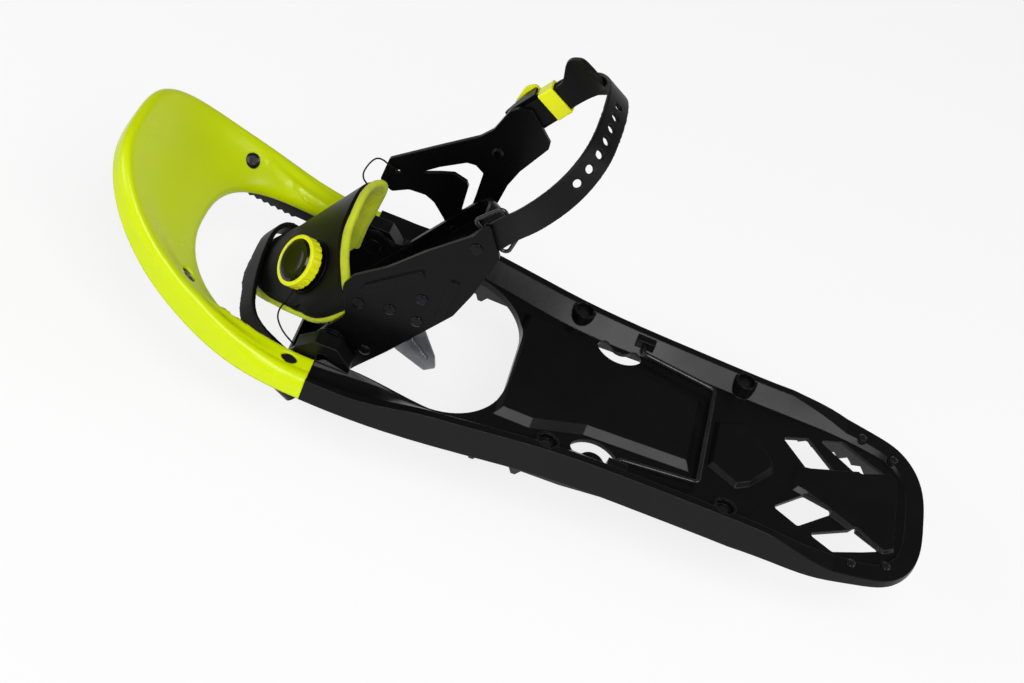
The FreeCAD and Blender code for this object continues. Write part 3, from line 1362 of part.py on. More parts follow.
def keeper():
    """sliding loop round the pad and the strap's tail"""
    x0 = wing_half_width - keeper_gap
    x1 = strap_buckle_x + strap_thickness / 2 + keeper_gap
    half = strap_width / 2 + keeper_gap
    z0 = pad_middle - half
    z1 = pad_middle + half
    y1 = -keeper_front
    y0 = y1 - keeper_length
    t = keeper_wall
    outer = block(x0 - t, x1 + t, y0, y1, z0 - t, z1 + t)
    edges = [e for e in outer.Edges if abs(e.tangentAt(e.FirstParameter).y) > 0.9]
    outer = outer.makeFillet(1.4, edges)
    return outer.cut(block(x0, x1, y0 - 1, y1 + 1, z0, z1))


def buckle_frame():
    """base under the strap with two cheeks that carry the lever's pin"""
    x0 = wing_half_width + pad_thickness
    half = strap_width / 2 + cheek_gap
    t = cheek_sheet
    base = block(x0, x0 + frame_sheet, -frame_rear, -frame_front, pad_middle - half - t, pad_middle + half + t)
    for z in (pad_middle - half - t, pad_middle + half):
        outline = [Vector(x0, -frame_rear, z), Vector(x0, -frame_front, z), Vector(x0 + 3.0, -frame_front, z),
                   Vector(x0 + frame_height, -lever_pin_back + 4.5, z), Vector(x0 + frame_height, -frame_rear, z)]
        base = base.fuse(rounded_prism(outline, [0, 0, 1, 3, 3], Vector(0, 0, t)))
    hole = rod(Vector(lever_pin_x(), -lever_pin_back, pad_middle - 20), Vector(0, 0, 1), lever_pin_radius, 40)
    return base.cut(hole)


def lever_pin_x():
    return wing_half_width + pad_thickness + frame_height - 3.0


def buckle_pin():
    half = strap_width / 2 + cheek_gap + cheek_sheet
    return rod(Vector(lever_pin_x(), -lever_pin_back, pad_middle - half), Vector(0, 0, 1), lever_pin_radius, 2 * half)


def buckle_lever():
    """thumb lever between the cheeks, its tab standing out above them"""
    x = lever_pin_x()
    half = strap_width / 2
    hub = rod(Vector(x, -lever_pin_back, pad_middle - half), Vector(0, 0, 1), 3.0, 2 * half)
    web = block(x - 1.0, x + 4.6, -lever_pin_back - 1.2, -lever_pin_back + 2.6, pad_middle - half, pad_middle + half)
    tab = side_plate([(frame_rear - 1.5, pad_middle - half + 1.0), (frame_rear - 1.5, pad_middle + 13.0),
                      (frame_rear - 9.0, pad_middle + 15.5), (frame_front + 3.0, pad_middle + 10.0),
                      (frame_front + 1.0, pad_middle - half + 4.0)], [2, 4, 8, 5, 5], x + 4.2, x + 4.2 + lever_sheet)
    body = hub.fuse(web).fuse(tab)
    return body.cut(rod(Vector(x, -lever_pin_back, pad_middle - 20), Vector(0, 0, 1), lever_pin_radius + running_gap, 40))


# ---------- assembly ----------

def worn(shape):
    """from the binding's own frame to its raised place on the shoe"""
    placed = shape.copy()
    placed.rotate(Vector(0, 0, 0), Vector(1, 0, 0), -binding_lift)
    placed.translate(Vector(0, pivot_y, pivot_height))
    return placed


def all_pieces():
    pieces = {"deck": deck(), "toe_cap": toe_cap(), "cap_rivets": cap_rivets(), "deck_rivets": deck_rivets(),
              "tail_rivets": tail_rivets(), "heel_bail": heel_bail(), "pivot_pins": pivot_pins(),
              "pivot_washers": pivot_washers()}
    side_rail = rail()
    pieces["rail_right"] = side_rail
    pieces["rail_left"] = mirrored(side_rail)
    rear_rail = tail_rail()
    pieces["tail_rail_right"] = rear_rail
    pieces["tail_rail_left"] = mirrored(rear_rail)
    level = {"footbed": footbed(), "toe_crampon": toe_crampon(), "crampon_rivets": crampon_rivets(),
             "left_wing": left_wing(), "right_wing": right_wing(), "wing_rivets": wing_rivets(),
             "toe_strap": toe_strap(), "toe_strap_rivets": toe_strap_rivets(), "instep_wrap": instep_wrap(),
             "liner": liner(), "wrap_rivets": wrap_rivets(), "lace_left": lace_left(), "lace_right": lace_right(),
             "heel_strap": heel_strap(), "strap_rivet": strap_rivet(), "strap_loop": strap_loop(),
             "strap_pad": strap_pad(), "pad_rivet": pad_rivet(), "keeper": keeper(), "buckle_frame": buckle_frame(),
             "buckle_pin": buckle_pin(), "buckle_lever": buckle_lever()}
    for name, make in (("dial_housing", dial_housing), ("dial_spindle", dial_spindle), ("dial_spool", dial_spool),
                       ("dial_sleeve", dial_sleeve), ("dial_knob", dial_knob), ("dial_cap", dial_cap)):
        level[name] = onto_wrap(make())
    for name, shape in level.items():
        pieces[name] = worn(shape)
    return pieces


def main():
    pieces = all_pieces()
    box = FreeCAD.BoundBox()
    for shape in pieces.values():
        box.add(shape.BoundBox)
    shift = Vector(-(box.XMin + box.XMax) / 2, -(box.YMin + box.YMax) / 2, -box.ZMin)
    os.makedirs("parts", exist_ok=True)
    for name, shape in pieces.items():
        placed = shape.copy()
        placed.translate(shift)
        placed.exportStep("parts/" + name + ".step")
        print(name, placed.isValid(), len(placed.Solids), round(placed.Volume, 1))
    print("size", round(box.XLength, 2), round(box.YLength, 2), round(box.ZLength, 2))
    print("shift", shift)


main()
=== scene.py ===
import json
import math
import bpy
import bmesh
from mathutils import Matrix, Vector
from mathutils.kdtree import KDTree


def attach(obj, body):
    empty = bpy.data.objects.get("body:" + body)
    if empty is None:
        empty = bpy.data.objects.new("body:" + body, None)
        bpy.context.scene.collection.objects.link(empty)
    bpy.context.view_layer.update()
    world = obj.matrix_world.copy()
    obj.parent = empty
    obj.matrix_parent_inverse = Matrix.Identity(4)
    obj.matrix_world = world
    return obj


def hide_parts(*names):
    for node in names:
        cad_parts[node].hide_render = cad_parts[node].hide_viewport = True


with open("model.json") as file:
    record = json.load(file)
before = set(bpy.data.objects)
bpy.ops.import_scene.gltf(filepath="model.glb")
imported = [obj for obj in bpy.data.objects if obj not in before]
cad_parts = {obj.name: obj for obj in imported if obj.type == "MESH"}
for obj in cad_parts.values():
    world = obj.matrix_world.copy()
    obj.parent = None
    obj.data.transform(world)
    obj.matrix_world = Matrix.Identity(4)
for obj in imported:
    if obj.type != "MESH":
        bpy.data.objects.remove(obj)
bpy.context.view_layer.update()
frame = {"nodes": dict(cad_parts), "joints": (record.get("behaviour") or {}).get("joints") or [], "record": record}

nodes = frame["nodes"]
joints = {joint["name"]: joint for joint in frame["joints"]}
mm = 0.001
print("snowshoe: frame loaded,", len(nodes), "parts")

# the binding's own frame: pivot at its origin, sole level; x across, back towards the heel, up, all in mm
binding = {"pivot": Vector(joints["binding_pivot"]["pos_m"]), "heelUp": math.radians(60)}
bindingTurn = Matrix.Rotation(-binding["heelUp"], 3, "X")


def foot(x, back, up):
    return binding["pivot"] + bindingTurn @ (Vector((x, -back, up)) * mm)


def onFoot(point):
    # the other way round: a place in the room as x, back, up on the binding
    p = bindingTurn.transposed() @ (point - binding["pivot"]) / mm
    return Vector((p.x, -p.y, p.z))


# the dial's own frame, on the binding, in mm
dial = {"x": -22.0, "back": 7.0, "seat": 40.6, "tilt": math.radians(27)}
dialTurn = Matrix.Rotation(-dial["tilt"], 3, "Y")


def onDial(x, y, z):
    p = Vector((dial["x"], -dial["back"], dial["seat"])) + dialTurn @ Vector((x, y, z))
    return foot(p.x, -p.y, p.z)


# colours and small node helpers

def paint(red, green, blue):
    # 0 to 255 as the eye sees it, turned into linear light
    def linear(value):
        value /= 255
        return value / 12.92 if value <= 0.04045 else ((value + 0.055) / 1.055) ** 2.4
    return (linear(red), linear(green), linear(blue), 1.0)


def addNode(tree, kind, inputs=(), **settings):
    # links the inputs that are sockets and sets the others
    node = tree.nodes.new(kind)
    for name, value in settings.items():
        setattr(node, name, value)
    for name, value in dict(inputs).items():
        if isinstance(value, bpy.types.NodeSocket):
            tree.links.new(value, node.inputs[name])
        else:
            node.inputs[name].default_value = value
    return node


def mathNode(tree, operation, a, b=0.0, clamp=False):
    return addNode(tree, "ShaderNodeMath", {0: a, 1: b}, operation=operation, use_clamp=clamp).outputs[0]


def mapTo(tree, value, low, high, newLow=0.0, newHigh=1.0):
    node = addNode(tree, "ShaderNodeMapRange", {0: value, 1: low, 2: high, 3: newLow, 4: newHigh})
    return node.outputs[0]


def mixColour(tree, share, first, second):
    return addNode(tree, "ShaderNodeMix", {0: share, 6: first, 7: second}, data_type="RGBA").outputs[2]


def noiseAt(tree, place, scale, detail, roughness=0.5, distortion=0.0):
    node = addNode(tree, "ShaderNodeTexNoise", {"Vector": place, "Scale": scale, "Detail": detail,
                                                "Roughness": roughness, "Distortion": distortion})
    return node.outputs[0]


def objectPlace(tree, stretch=None, turn=0.0):
    # the place on the piece, drawn out along its axes and turned about Z if asked
    place = tree.nodes.new("ShaderNodeTexCoord").outputs["Object"]
    if stretch is None:
        return place
    settings = {"Vector": place, "Scale": stretch, "Rotation": (0, 0, turn)}
    return addNode(tree, "ShaderNodeMapping", settings).outputs[0]


def newGroup(name, inputs, outputs):
    group = bpy.data.node_groups.new(name, "ShaderNodeTree")
    for label, value in inputs.items():
        socket = group.interface.new_socket(name=label, in_out="INPUT", socket_type="NodeSocketFloat")
        socket.default_value = value
    for label, kind in outputs.items():
        group.interface.new_socket(name=label, in_out="OUTPUT", socket_type=kind)
    return group, group.nodes.new("NodeGroupInput").outputs, group.nodes.new("NodeGroupOutput").inputs


# shared effects: each is a group that gives masks, heights or a normal

edgeLook = {"radius": 0.0008, "wear": 1.0, "samples": 6, "bend": (0.995, 0.75), "patchScale": 90.0,
            "patchDetail": 6.0, "patchRoughness": 0.7, "patch": (0.38, 0.62)}


def makeSoftEdges():
    # rounds sharp edges in the shading and finds them for wear
    group, given, out = newGroup("softEdges", {"Radius": edgeLook["radius"], "Wear": edgeLook["wear"]},
                                 {"Normal": "NodeSocketVector", "Edge": "NodeSocketFloat"})
    bevel = addNode(group, "ShaderNodeBevel", {"Radius": given["Radius"]}, samples=edgeLook["samples"])
    flat = group.nodes.new("ShaderNodeNewGeometry").outputs["Normal"]
    dot = addNode(group, "ShaderNodeVectorMath", {0: bevel.outputs[0], 1: flat}, operation="DOT_PRODUCT")
    bend = mapTo(group, dot.outputs["Value"], *edgeLook["bend"])
    noise = noiseAt(group, objectPlace(group), edgeLook["patchScale"], edgeLook["patchDetail"],
                    edgeLook["patchRoughness"])
    worn = mathNode(group, "MULTIPLY", bend, mapTo(group, noise, *edgeLook["patch"]))
    group.links.new(bevel.outputs[0], out["Normal"])
    group.links.new(mathNode(group, "MULTIPLY", worn, given["Wear"], True), out["Edge"])
    return group


grainLook = {"scale": 900.0, "drift": 18.0, "detail": 3.0, "roughness": 0.55, "cellShare": 0.5,
             "driftDetail": 4.0, "gloss": (0.3, 0.7)}


def makeMouldGrain():
    # spark-eroded grain of a moulding tool, and a slow drift in its gloss
    group, given, out = newGroup("mouldGrain", {"Scale": grainLook["scale"], "Drift": grainLook["drift"]},
                                 {"Height": "NodeSocketFloat", "Gloss": "NodeSocketFloat"})
    place = objectPlace(group)
    fine = noiseAt(group, place, given["Scale"], grainLook["detail"], grainLook["roughness"])
    cells = addNode(group, "ShaderNodeTexVoronoi", {"Vector": place, "Scale": given["Scale"]},
                    feature="SMOOTH_F1")
    pits = mathNode(group, "MULTIPLY", cells.outputs["Distance"], grainLook["cellShare"])
    slow = noiseAt(group, place, given["Drift"], grainLook["driftDetail"])
    group.links.new(mathNode(group, "ADD", fine, pits), out["Height"])
    group.links.new(mapTo(group, slow, *grainLook["gloss"]), out["Gloss"])
    return group


scuffLook = {"scale": 60.0, "amount": 0.5, "turns": (0.15, 1.1, -0.5), "stretch": (8.0, 0.5, 8.0),
             "detail": 2.0, "distortion": 0.4, "middle": 0.5, "line": (0.010, 0.0), "patchScale": 14.0,
             "patchDetail": 3.0, "patch": (0.5, 0.68)}


def makeScuffs():
    # fine hairline scratches running mostly along the shoe, in patches
    group, given, out = newGroup("scuffs", {"Scale": scuffLook["scale"], "Amount": scuffLook["amount"]},
                                 {"Mask": "NodeSocketFloat"})
    lines = []
    for turn in scuffLook["turns"]:
        place = objectPlace(group, scuffLook["stretch"], turn)
        noise = noiseAt(group, place, given["Scale"], scuffLook["detail"], distortion=scuffLook["distortion"])
        offMiddle = mathNode(group, "ABSOLUTE", mathNode(group, "SUBTRACT", noise, scuffLook["middle"]))
        lines.append(mapTo(group, offMiddle, *scuffLook["line"]))
    both = mathNode(group, "MAXIMUM", lines[0], mathNode(group, "MAXIMUM", lines[1], lines[2]))
    patch = noiseAt(group, objectPlace(group), scuffLook["patchScale"], scuffLook["patchDetail"])
    kept = mathNode(group, "MULTIPLY", both, mapTo(group, patch, *scuffLook["patch"]))
    group.links.new(mathNode(group, "MULTIPLY", kept, given["Amount"], True), out["Mask"])
    return group


dustLook = {"amount": 0.3, "scale": 40.0, "detail": 8.0, "roughness": 0.7, "facingUp": (0.35, 0.95),
            "patch": (0.45, 0.75)}


def makeDust():
    # pale dust that settles on faces that look up
    group, given, out = newGroup("dust", {"Amount": dustLook["amount"], "Scale": dustLook["scale"]},
                                 {"Mask": "NodeSocketFloat"})
    normal = group.nodes.new("ShaderNodeNewGeometry").outputs["Normal"]
    up = addNode(group, "ShaderNodeSeparateXYZ", {0: normal}).outputs["Z"]
    noise = noiseAt(group, objectPlace(group), given["Scale"], dustLook["detail"], dustLook["roughness"])
    facing = mapTo(group, up, *dustLook["facingUp"])
    mask = mathNode(group, "MULTIPLY", facing, mapTo(group, noise, *dustLook["patch"]))
    group.links.new(mathNode(group, "MULTIPLY", mask, given["Amount"], True), out["Mask"])
    return group


knitLook = {"scale": 1500.0, "distortion": 1.2, "detail": 1.0, "detailScale": 2.0, "toneScale": 55.0,
            "toneDetail": 5.0, "tone": (0.3, 0.7)}


def makeKnit():
    # rows of small stitches, from two directions across the cloth
    group, given, out = newGroup("knit", {"Scale": knitLook["scale"]},
                                 {"Height": "NodeSocketFloat", "Tone": "NodeSocketFloat"})
    place = objectPlace(group)
    rows = []
    for direction in ("X", "DIAGONAL"):
        wave = addNode(group, "ShaderNodeTexWave",
                       {"Vector": place, "Scale": given["Scale"], "Distortion": knitLook["distortion"],
                        "Detail": knitLook["detail"], "Detail Scale": knitLook["detailScale"]},
                       wave_type="BANDS", bands_direction=direction)
        rows.append(wave.outputs["Fac"])
    tone = noiseAt(group, place, knitLook["toneScale"], knitLook["toneDetail"])
    group.links.new(mathNode(group, "MULTIPLY", rows[0], rows[1]), out["Height"])
    group.links.new(mapTo(group, tone, *knitLook["tone"]), out["Tone"])
    return group


effects = {"softEdges": makeSoftEdges(), "mouldGrain": makeMouldGrain(), "scuffs": makeScuffs(),
           "dust": makeDust(), "knit": makeKnit()}
print("shared effects ready")


def effect(tree, name, **inputs):
    node = tree.nodes.new("ShaderNodeGroup")
    node.node_tree = effects[name]
    for label, value in inputs.items():
        node.inputs[label].default_value = value
    return node.outputs


# materials

def startMaterial(name, colour, roughness, fixed=()):
    material = bpy.data.materials.new(name)
    material.use_nodes = True
    tree = material.node_tree
    shader = tree.nodes["Principled BSDF"]
    shader.inputs["Base Color"].default_value = colour
    shader.inputs["Roughness"].default_value = roughness
    for label, value in dict(fixed).items():
        shader.inputs[label].default_value = value
    return material, tree, shader


def bumpOver(tree, shader, height, strength, depth, normal=None):
    bump = addNode(tree, "ShaderNodeBump", {"Height": height, "Strength": strength, "Distance": depth})
    if normal is not None:
        tree.links.new(normal, bump.inputs["Normal"])
    tree.links.new(bump.outputs[0], shader.inputs["Normal"])


def aroundRoughness(tree, share, low, high, look):
    middle, drift = look["roughness"], look["drift"]
    return mapTo(tree, share, low, high, middle - drift, middle + drift)


plasticBlack = {"colour": paint(11, 11, 12), "wornColour": paint(38, 38, 40), "dustColour": paint(70, 69, 66),
                "roughness": 0.31, "drift": 0.06, "specular": 0.20, "coat": 0.0, "coatRoughness": 0.08,
                "edgeRadius": 0.0012, "wear": 0.35, "grain": 1400.0, "grainStrength": 0.16,
                "grainDepth": 0.00006, "scuffScale": 60.0, "scuffs": 0.18, "scuffRoughness": 0.2,
                "dust": 0.02, "dustRoughness": 0.5}
plasticLime = dict(plasticBlack, colour=paint(197, 216, 0), wornColour=paint(214, 232, 90),
                   dustColour=paint(205, 215, 120), roughness=0.30, drift=0.05, specular=0.3,
                   edgeRadius=0.0015, wear=0.30, grain=1200.0, grainStrength=0.10, grainDepth=0.00005,
                   scuffs=0.06, dust=0.01)
nylonBlack = dict(plasticBlack, colour=paint(6, 6, 7), specular=0.12, roughness=0.27, edgeRadius=0.0009,
                  grain=1800.0, scuffs=0.15)
rubberBlack = dict(plasticBlack, colour=paint(8, 8, 9), wornColour=paint(36, 36, 37), specular=0.16,
                   roughness=0.47, edgeRadius=0.0005, grain=2400.0, grainStrength=0.22, scuffs=0.12,
                   dust=0.03)
dialLime = dict(plasticLime, colour=paint(224, 228, 20), wornColour=paint(238, 240, 110), roughness=0.28,
                edgeRadius=0.0005)
glossBlack = dict(plasticBlack, colour=paint(6, 6, 7), roughness=0.13, drift=0.03, coat=0.3,
                  edgeRadius=0.0004, grainStrength=0.02, scuffs=0.10, wear=0.15)


def mouldedPlastic(name, look):
    # injection moulded shell: grain, drifting gloss, worn edges, hairlines and a little dust
    fixed = {"Specular IOR Level": look["specular"], "Coat Weight": look["coat"],
             "Coat Roughness": look["coatRoughness"]}
    material, tree, shader = startMaterial(name, look["colour"], look["roughness"], fixed)
    edges = effect(tree, "softEdges", Radius=look["edgeRadius"], Wear=look["wear"])
    grain = effect(tree, "mouldGrain", Scale=look["grain"])
    marks = effect(tree, "scuffs", Scale=look["scuffScale"], Amount=look["scuffs"])
    dusty = effect(tree, "dust", Amount=look["dust"])
    colour = mixColour(tree, edges["Edge"], look["colour"], look["wornColour"])
    colour = mixColour(tree, marks["Mask"], colour, look["wornColour"])
    colour = mixColour(tree, dusty["Mask"], colour, look["dustColour"])
    tree.links.new(colour, shader.inputs["Base Color"])
    rough = aroundRoughness(tree, grain["Gloss"], 0.0, 1.0, look)
    scuffed = mathNode(tree, "MULTIPLY", marks["Mask"], look["scuffRoughness"])
    dulled = mathNode(tree, "MULTIPLY", dusty["Mask"], look["dustRoughness"])
    rough = mathNode(tree, "ADD", mathNode(tree, "ADD", rough, scuffed), dulled, True)
    tree.links.new(rough, shader.inputs["Roughness"])
    bumpOver(tree, shader, grain["Height"], look["grainStrength"], look["grainDepth"], edges["Normal"])
    return material


steelBare = {"colour": paint(150, 152, 155), "shadeColour": paint(118, 120, 124),
             "wornColour": paint(205, 206, 208), "roughness": 0.38, "drift": 0.08, "metallic": 1.0,
             "edgeRadius": 0.0005, "wear": 0.6, "scuffScale": 90.0, "scuffs": 0.4,
             "streakRun": (30.0, 2.0, 30.0), "streakScale": 60.0, "streakDetail": 4.0, "streakStrength": 0.15,
             "streakDepth": 0.00004, "blotScale": 70.0, "blotDetail": 6.0, "contrast": (0.3, 0.7)}
steelCoated = dict(steelBare, colour=paint(9, 9, 10), shadeColour=paint(14, 14, 15),
                   wornColour=paint(90, 90, 92), roughness=0.42, metallic=0.0, wear=0.5, scuffs=0.3)
wireCoated = dict(steelCoated, colour=paint(30, 30, 31), roughness=0.28, edgeRadius=0.0003, wear=0.2)
rivetBlack = dict(steelCoated, colour=paint(18, 18, 20), roughness=0.24, edgeRadius=0.0004, wear=0.3)
rivetSteel = dict(steelBare, colour=paint(40, 40, 42), shadeColour=paint(30, 30, 32),
                  wornColour=paint(110, 110, 112), roughness=0.32)


def metal(name, look):
    # steel: coated or bare, with streaks along the sheet and bright rubbed edges
    fixed = {"Metallic": look["metallic"]}
    material, tree, shader = startMaterial(name, look["colour"], look["roughness"], fixed)
    edges = effect(tree, "softEdges", Radius=look["edgeRadius"], Wear=look["wear"])
    marks = effect(tree, "scuffs", Scale=look["scuffScale"], Amount=look["scuffs"])
    streak = noiseAt(tree, objectPlace(tree, look["streakRun"]), look["streakScale"], look["streakDetail"])
    blot = noiseAt(tree, objectPlace(tree), look["blotScale"], look["blotDetail"])
    colour = mixColour(tree, mapTo(tree, blot, *look["contrast"]), look["colour"], look["shadeColour"])
    bright = mathNode(tree, "MAXIMUM", edges["Edge"], marks["Mask"])
    tree.links.new(mixColour(tree, bright, colour, look["wornColour"]), shader.inputs["Base Color"])
    tree.links.new(aroundRoughness(tree, streak, *look["contrast"], look), shader.inputs["Roughness"])
    bumpOver(tree, shader, streak, look["streakStrength"], look["streakDepth"], edges["Normal"])
    return material


coverBlack = {"colour": paint(8, 8, 9), "shadeColour": paint(12, 12, 13), "threadColour": paint(18, 18, 20),
              "dustColour": paint(88, 87, 84), "roughness": 0.44, "drift": 0.06, "sheen": 0.0,
              "sheenRoughness": 0.5, "specular": 0.12, "weave": 420.0, "weaveTone": 0.3, "grain": 1500.0,
              "grainShare": 0.4, "dust": 0.02, "bump": 0.25, "bumpDepth": 0.00012}
linerLime = dict(coverBlack, colour=paint(196, 208, 20), shadeColour=paint(164, 178, 8),
                 threadColour=paint(214, 224, 70), dustColour=paint(190, 195, 110), roughness=0.72,
                 sheen=0.15, specular=0.3, weave=380.0, weaveTone=0.5, grain=900.0, dust=0.04, bump=0.5,
                 bumpDepth=0.0002)
laceBlack = dict(coverBlack, roughness=0.55, weave=2400.0)


def softCover(name, look):
    # coated synthetic cloth with a fine weave showing through
    fixed = {"Sheen Weight": look["sheen"], "Sheen Roughness": look["sheenRoughness"],
             "Specular IOR Level": look["specular"]}
    material, tree, shader = startMaterial(name, look["colour"], look["roughness"], fixed)
    weave = effect(tree, "knit", Scale=look["weave"])
    grain = effect(tree, "mouldGrain", Scale=look["grain"])
    dusty = effect(tree, "dust", Amount=look["dust"])
    thread = mathNode(tree, "MULTIPLY", weave["Height"], look["weaveTone"])
    colour = mixColour(tree, weave["Tone"], look["colour"], look["shadeColour"])
    colour = mixColour(tree, thread, colour, look["threadColour"])
    colour = mixColour(tree, dusty["Mask"], colour, look["dustColour"])
    tree.links.new(colour, shader.inputs["Base Color"])
    tree.links.new(aroundRoughness(tree, grain["Gloss"], 0.0, 1.0, look), shader.inputs["Roughness"])
    pits = mathNode(tree, "MULTIPLY", grain["Height"], look["grainShare"])
    bumpOver(tree, shader, mathNode(tree, "ADD", weave["Height"], pits), look["bump"], look["bumpDepth"])
    return material


materials = {"black_moulded": mouldedPlastic("blackMouldedDeck", plasticBlack),
             "lime_moulded": mouldedPlastic("limeMouldedCap", plasticLime),
             "black_binding": mouldedPlastic("blackNylonWings", nylonBlack),
             "black_rubber": mouldedPlastic("blackRubberStrap", rubberBlack),
             "lime_dial": mouldedPlastic("limeDialRing", dialLime),
             "black_gloss": mouldedPlastic("glossyDialFace", glossBlack),
             "dark_rivet": metal("blackRivetHeads", rivetBlack),
             "rail_steel": metal("blackRailSteel", steelCoated),
             "bail_wire": metal("coatedHeelWire", wireCoated),
             "claw_steel": metal("bareClawSteel", steelBare),
             "bright_rivet": metal("darkSteelRivets", rivetSteel),
             "black_wrap": softCover("blackWrapCover", coverBlack),
             "lime_foam": softCover("limeLinerKnit", linerLime),
             "black_cord": softCover("blackLaceBraid", laceBlack)}

slotOf = {part["node"]: part["material_slot"] for part in frame["record"]["subparts"]}
for name, node in nodes.items():
    node.data.materials.clear()
    node.data.materials.append(materials[slotOf[name]])
print("materials on", len(nodes), "parts")


# soft pieces, each built over the space of its solid

def addPiece(name, mesh, slotName, body="binding", smooth=True):
    piece = bpy.data.objects.new(name, mesh)
    bpy.context.scene.collection.objects.link(piece)
    mesh.materials.clear()
    mesh.materials.append(materials[slotName])
    if smooth:
        for face in mesh.polygons:
            face.use_smooth = True
    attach(piece, body)
    return piece


def settle(source, name, steps):
    # runs modifiers over a copy of a mesh and keeps the result
    shape = bpy.data.objects.new(name, source.data.copy())
    bpy.context.scene.collection.objects.link(shape)
    for kind, settings in steps:
        modifier = shape.modifiers.new(kind, kind)
        for label, value in settings.items():
            setattr(modifier, label, value)
    graph = bpy.context.evaluated_depsgraph_get()
    mesh = bpy.data.meshes.new_from_object(shape.evaluated_get(graph))
    bpy.data.objects.remove(shape)
    mesh.name = name
    return mesh


def easeStep(value, low, high):
    share = min(max((value - low) / (high - low), 0.0), 1.0)
    return share * share * (3 - 2 * share)


# the wrap's open front edge and its rear edge, on the binding in mm, from the left side over the foot
wrapEdges = {"front": [(-8, -56, 43.5), (-14, -50, 41.5), (-21, -42.5, 38.8), (-30, -31.5, 34.6),
                       (-39, -20.5, 30.0), (-45.5, -10, 23.5), (-49.2, -2, 16.5), (-50.0, 7, 12.0),
                       (-50.2, 18, 9.8), (-50.2, 30, 8.6), (-50.2, 42, 7.0)],
             "rear": [(-50.2, 37, 6), (-50.2, 38, 14), (-49.0, 39, 23), (-41, 40, 29.5), (-30, 40, 35.0),
                      (-17, 41, 40.2), (-6, 43.5, 44.2), (4, 47.5, 46.8), (14, 50, 48.2), (26, 51, 48.0),
                      (38, 51.5, 45.2), (45, 52, 40.5), (48.2, 50, 36), (49.5, 44.5, 32), (50, 36, 28),
                      (50.2, 24, 22.5), (50.2, 12, 17.5), (50.2, 0, 11), (50.2, -9, 6)],
             "steps": 10, "axisUp": 15.0}
wrapReach = {"from": -20.0, "to": -38.0, "forward": 15.0, "rise": 3.2, "riseOver": (-20.0, 0.0)}


def smoothLine(points, steps):
    # a flowing line through the points
    points = [Vector(point) for point in points]
    line = []
    for i in range(len(points) - 1):
        a, b = points[i], points[i + 1]
        before, after = points[max(i - 1, 0)], points[min(i + 2, len(points) - 1)]
        for step in range(steps):
            t = step / steps
            line.append(0.5 * (2 * a + (b - before) * t + (2 * before - 5 * a + 4 * b - after) * t ** 2
                               + (3 * a - before - 3 * b + after) * t ** 3))
    line.append(points[-1])
    return line


def edgeFrames(edge, setBack):
    # for each place on an edge: the place, outwards from the foot, and towards the kept side
    line = smoothLine(wrapEdges[edge], wrapEdges["steps"])
    frames = []
    for i, place in enumerate(line):
        along = (line[min(i + 1, len(line) - 1)] - line[max(i - 1, 0)]).normalized()
        outward = place - Vector((0, place.y, wrapEdges["axisUp"]))
        outward = (outward - along * outward.dot(along)).normalized()
        kept = along.cross(outward)
        frames.append((place + kept * setBack, outward, kept))
    return frames


def reachForward(mesh):
    # the wrap's front runs on under the toe strap, and rises a little on the way
    for vertex in mesh.vertices:
        place = onFoot(vertex.co)
        share = (wrapReach["from"] - place.y) / (wrapReach["from"] - wrapReach["to"])
        if share > 0:
            rise = wrapReach["rise"] * min(share, 1.0) * easeStep(place.x, *wrapReach["riseOver"])
            place += Vector((place.x, 0, place.z - wrapEdges["axisUp"])).normalized() * rise
            place.y -= wrapReach["forward"] * share
            vertex.co = foot(*place)


def growOut(mesh, outBy):
    # moves a form outwards from the foot
    for vertex in mesh.vertices:
        place = onFoot(vertex.co)
        outward = (place - Vector((0, place.y, wrapEdges["axisUp"]))).normalized()
        vertex.co = foot(*(place + outward * outBy))


def trimTo(mesh, edge, setBack):
    # draws what lies past an edge back onto it, so the form ends there
    frames = edgeFrames(edge, setBack)
    tree = KDTree(len(frames))
    for i, (start, outward, kept) in enumerate(frames):
        tree.insert(start, i)
    tree.balance()
    for vertex in mesh.vertices:
        place = onFoot(vertex.co)
        index = tree.find(place)[1]
        start, outward, kept = frames[index]
        past = (place - start).dot(kept)
        if past < 0 and 0 < index < len(frames) - 1:
            vertex.co = foot(*(place - kept * past))


instepWrap = {"node": "instep_wrap", "slot": "black_wrap", "grid": 0.75, "rounding": 4, "swell": 0.1,
              "edges": ("front", "rear"), "setBack": 5.0}
wrapBase = dict(instepWrap, node="liner", grid=0.9, swell=0.0, outBy=2.6)  # fills the space inside the wrap
limeLiner = {"node": "liner", "slot": "lime_foam", "grid": 0.75, "rounding": 4, "swell": 0.3,
             "edges": ("front", "rear"), "setBack": 0.0, "fill": 0.7}
toeStrap = {"node": "toe_strap", "slot": "black_rubber", "grid": 0.7, "rounding": 3, "swell": 0.1}
heelStrap = {"node": "heel_strap", "slot": "black_rubber", "grid": 0.6, "rounding": 3, "swell": 0.1}


def makeSoftForm(name, form):
    # remeshed from its solid, trimmed to the wrap's edges where it has them, then rounded and swollen
    remesh = {"mode": "VOXEL", "voxel_size": form["grid"] * mm}
    mesh = settle(nodes[form["node"]], name, [("REMESH", remesh)])
    if "edges" in form:
        reachForward(mesh)
    if "outBy" in form:
        growOut(mesh, form["outBy"])
    for edge in form.get("edges", ()):
        trimTo(mesh, edge, form["setBack"])
    rough = bpy.data.objects.new(name + "Rough", mesh)
    smooth = {"factor": 0.5, "iterations": form["rounding"]}
    swell = {"strength": form["swell"] * mm, "mid_level": 0.0}
    mesh = settle(rough, name, [("SMOOTH", smooth), ("DISPLACE", swell)])
    bpy.data.objects.remove(rough)
    piece = addPiece(name, mesh, form["slot"])
    if "outBy" not in form:
        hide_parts(form["node"])
    return piece


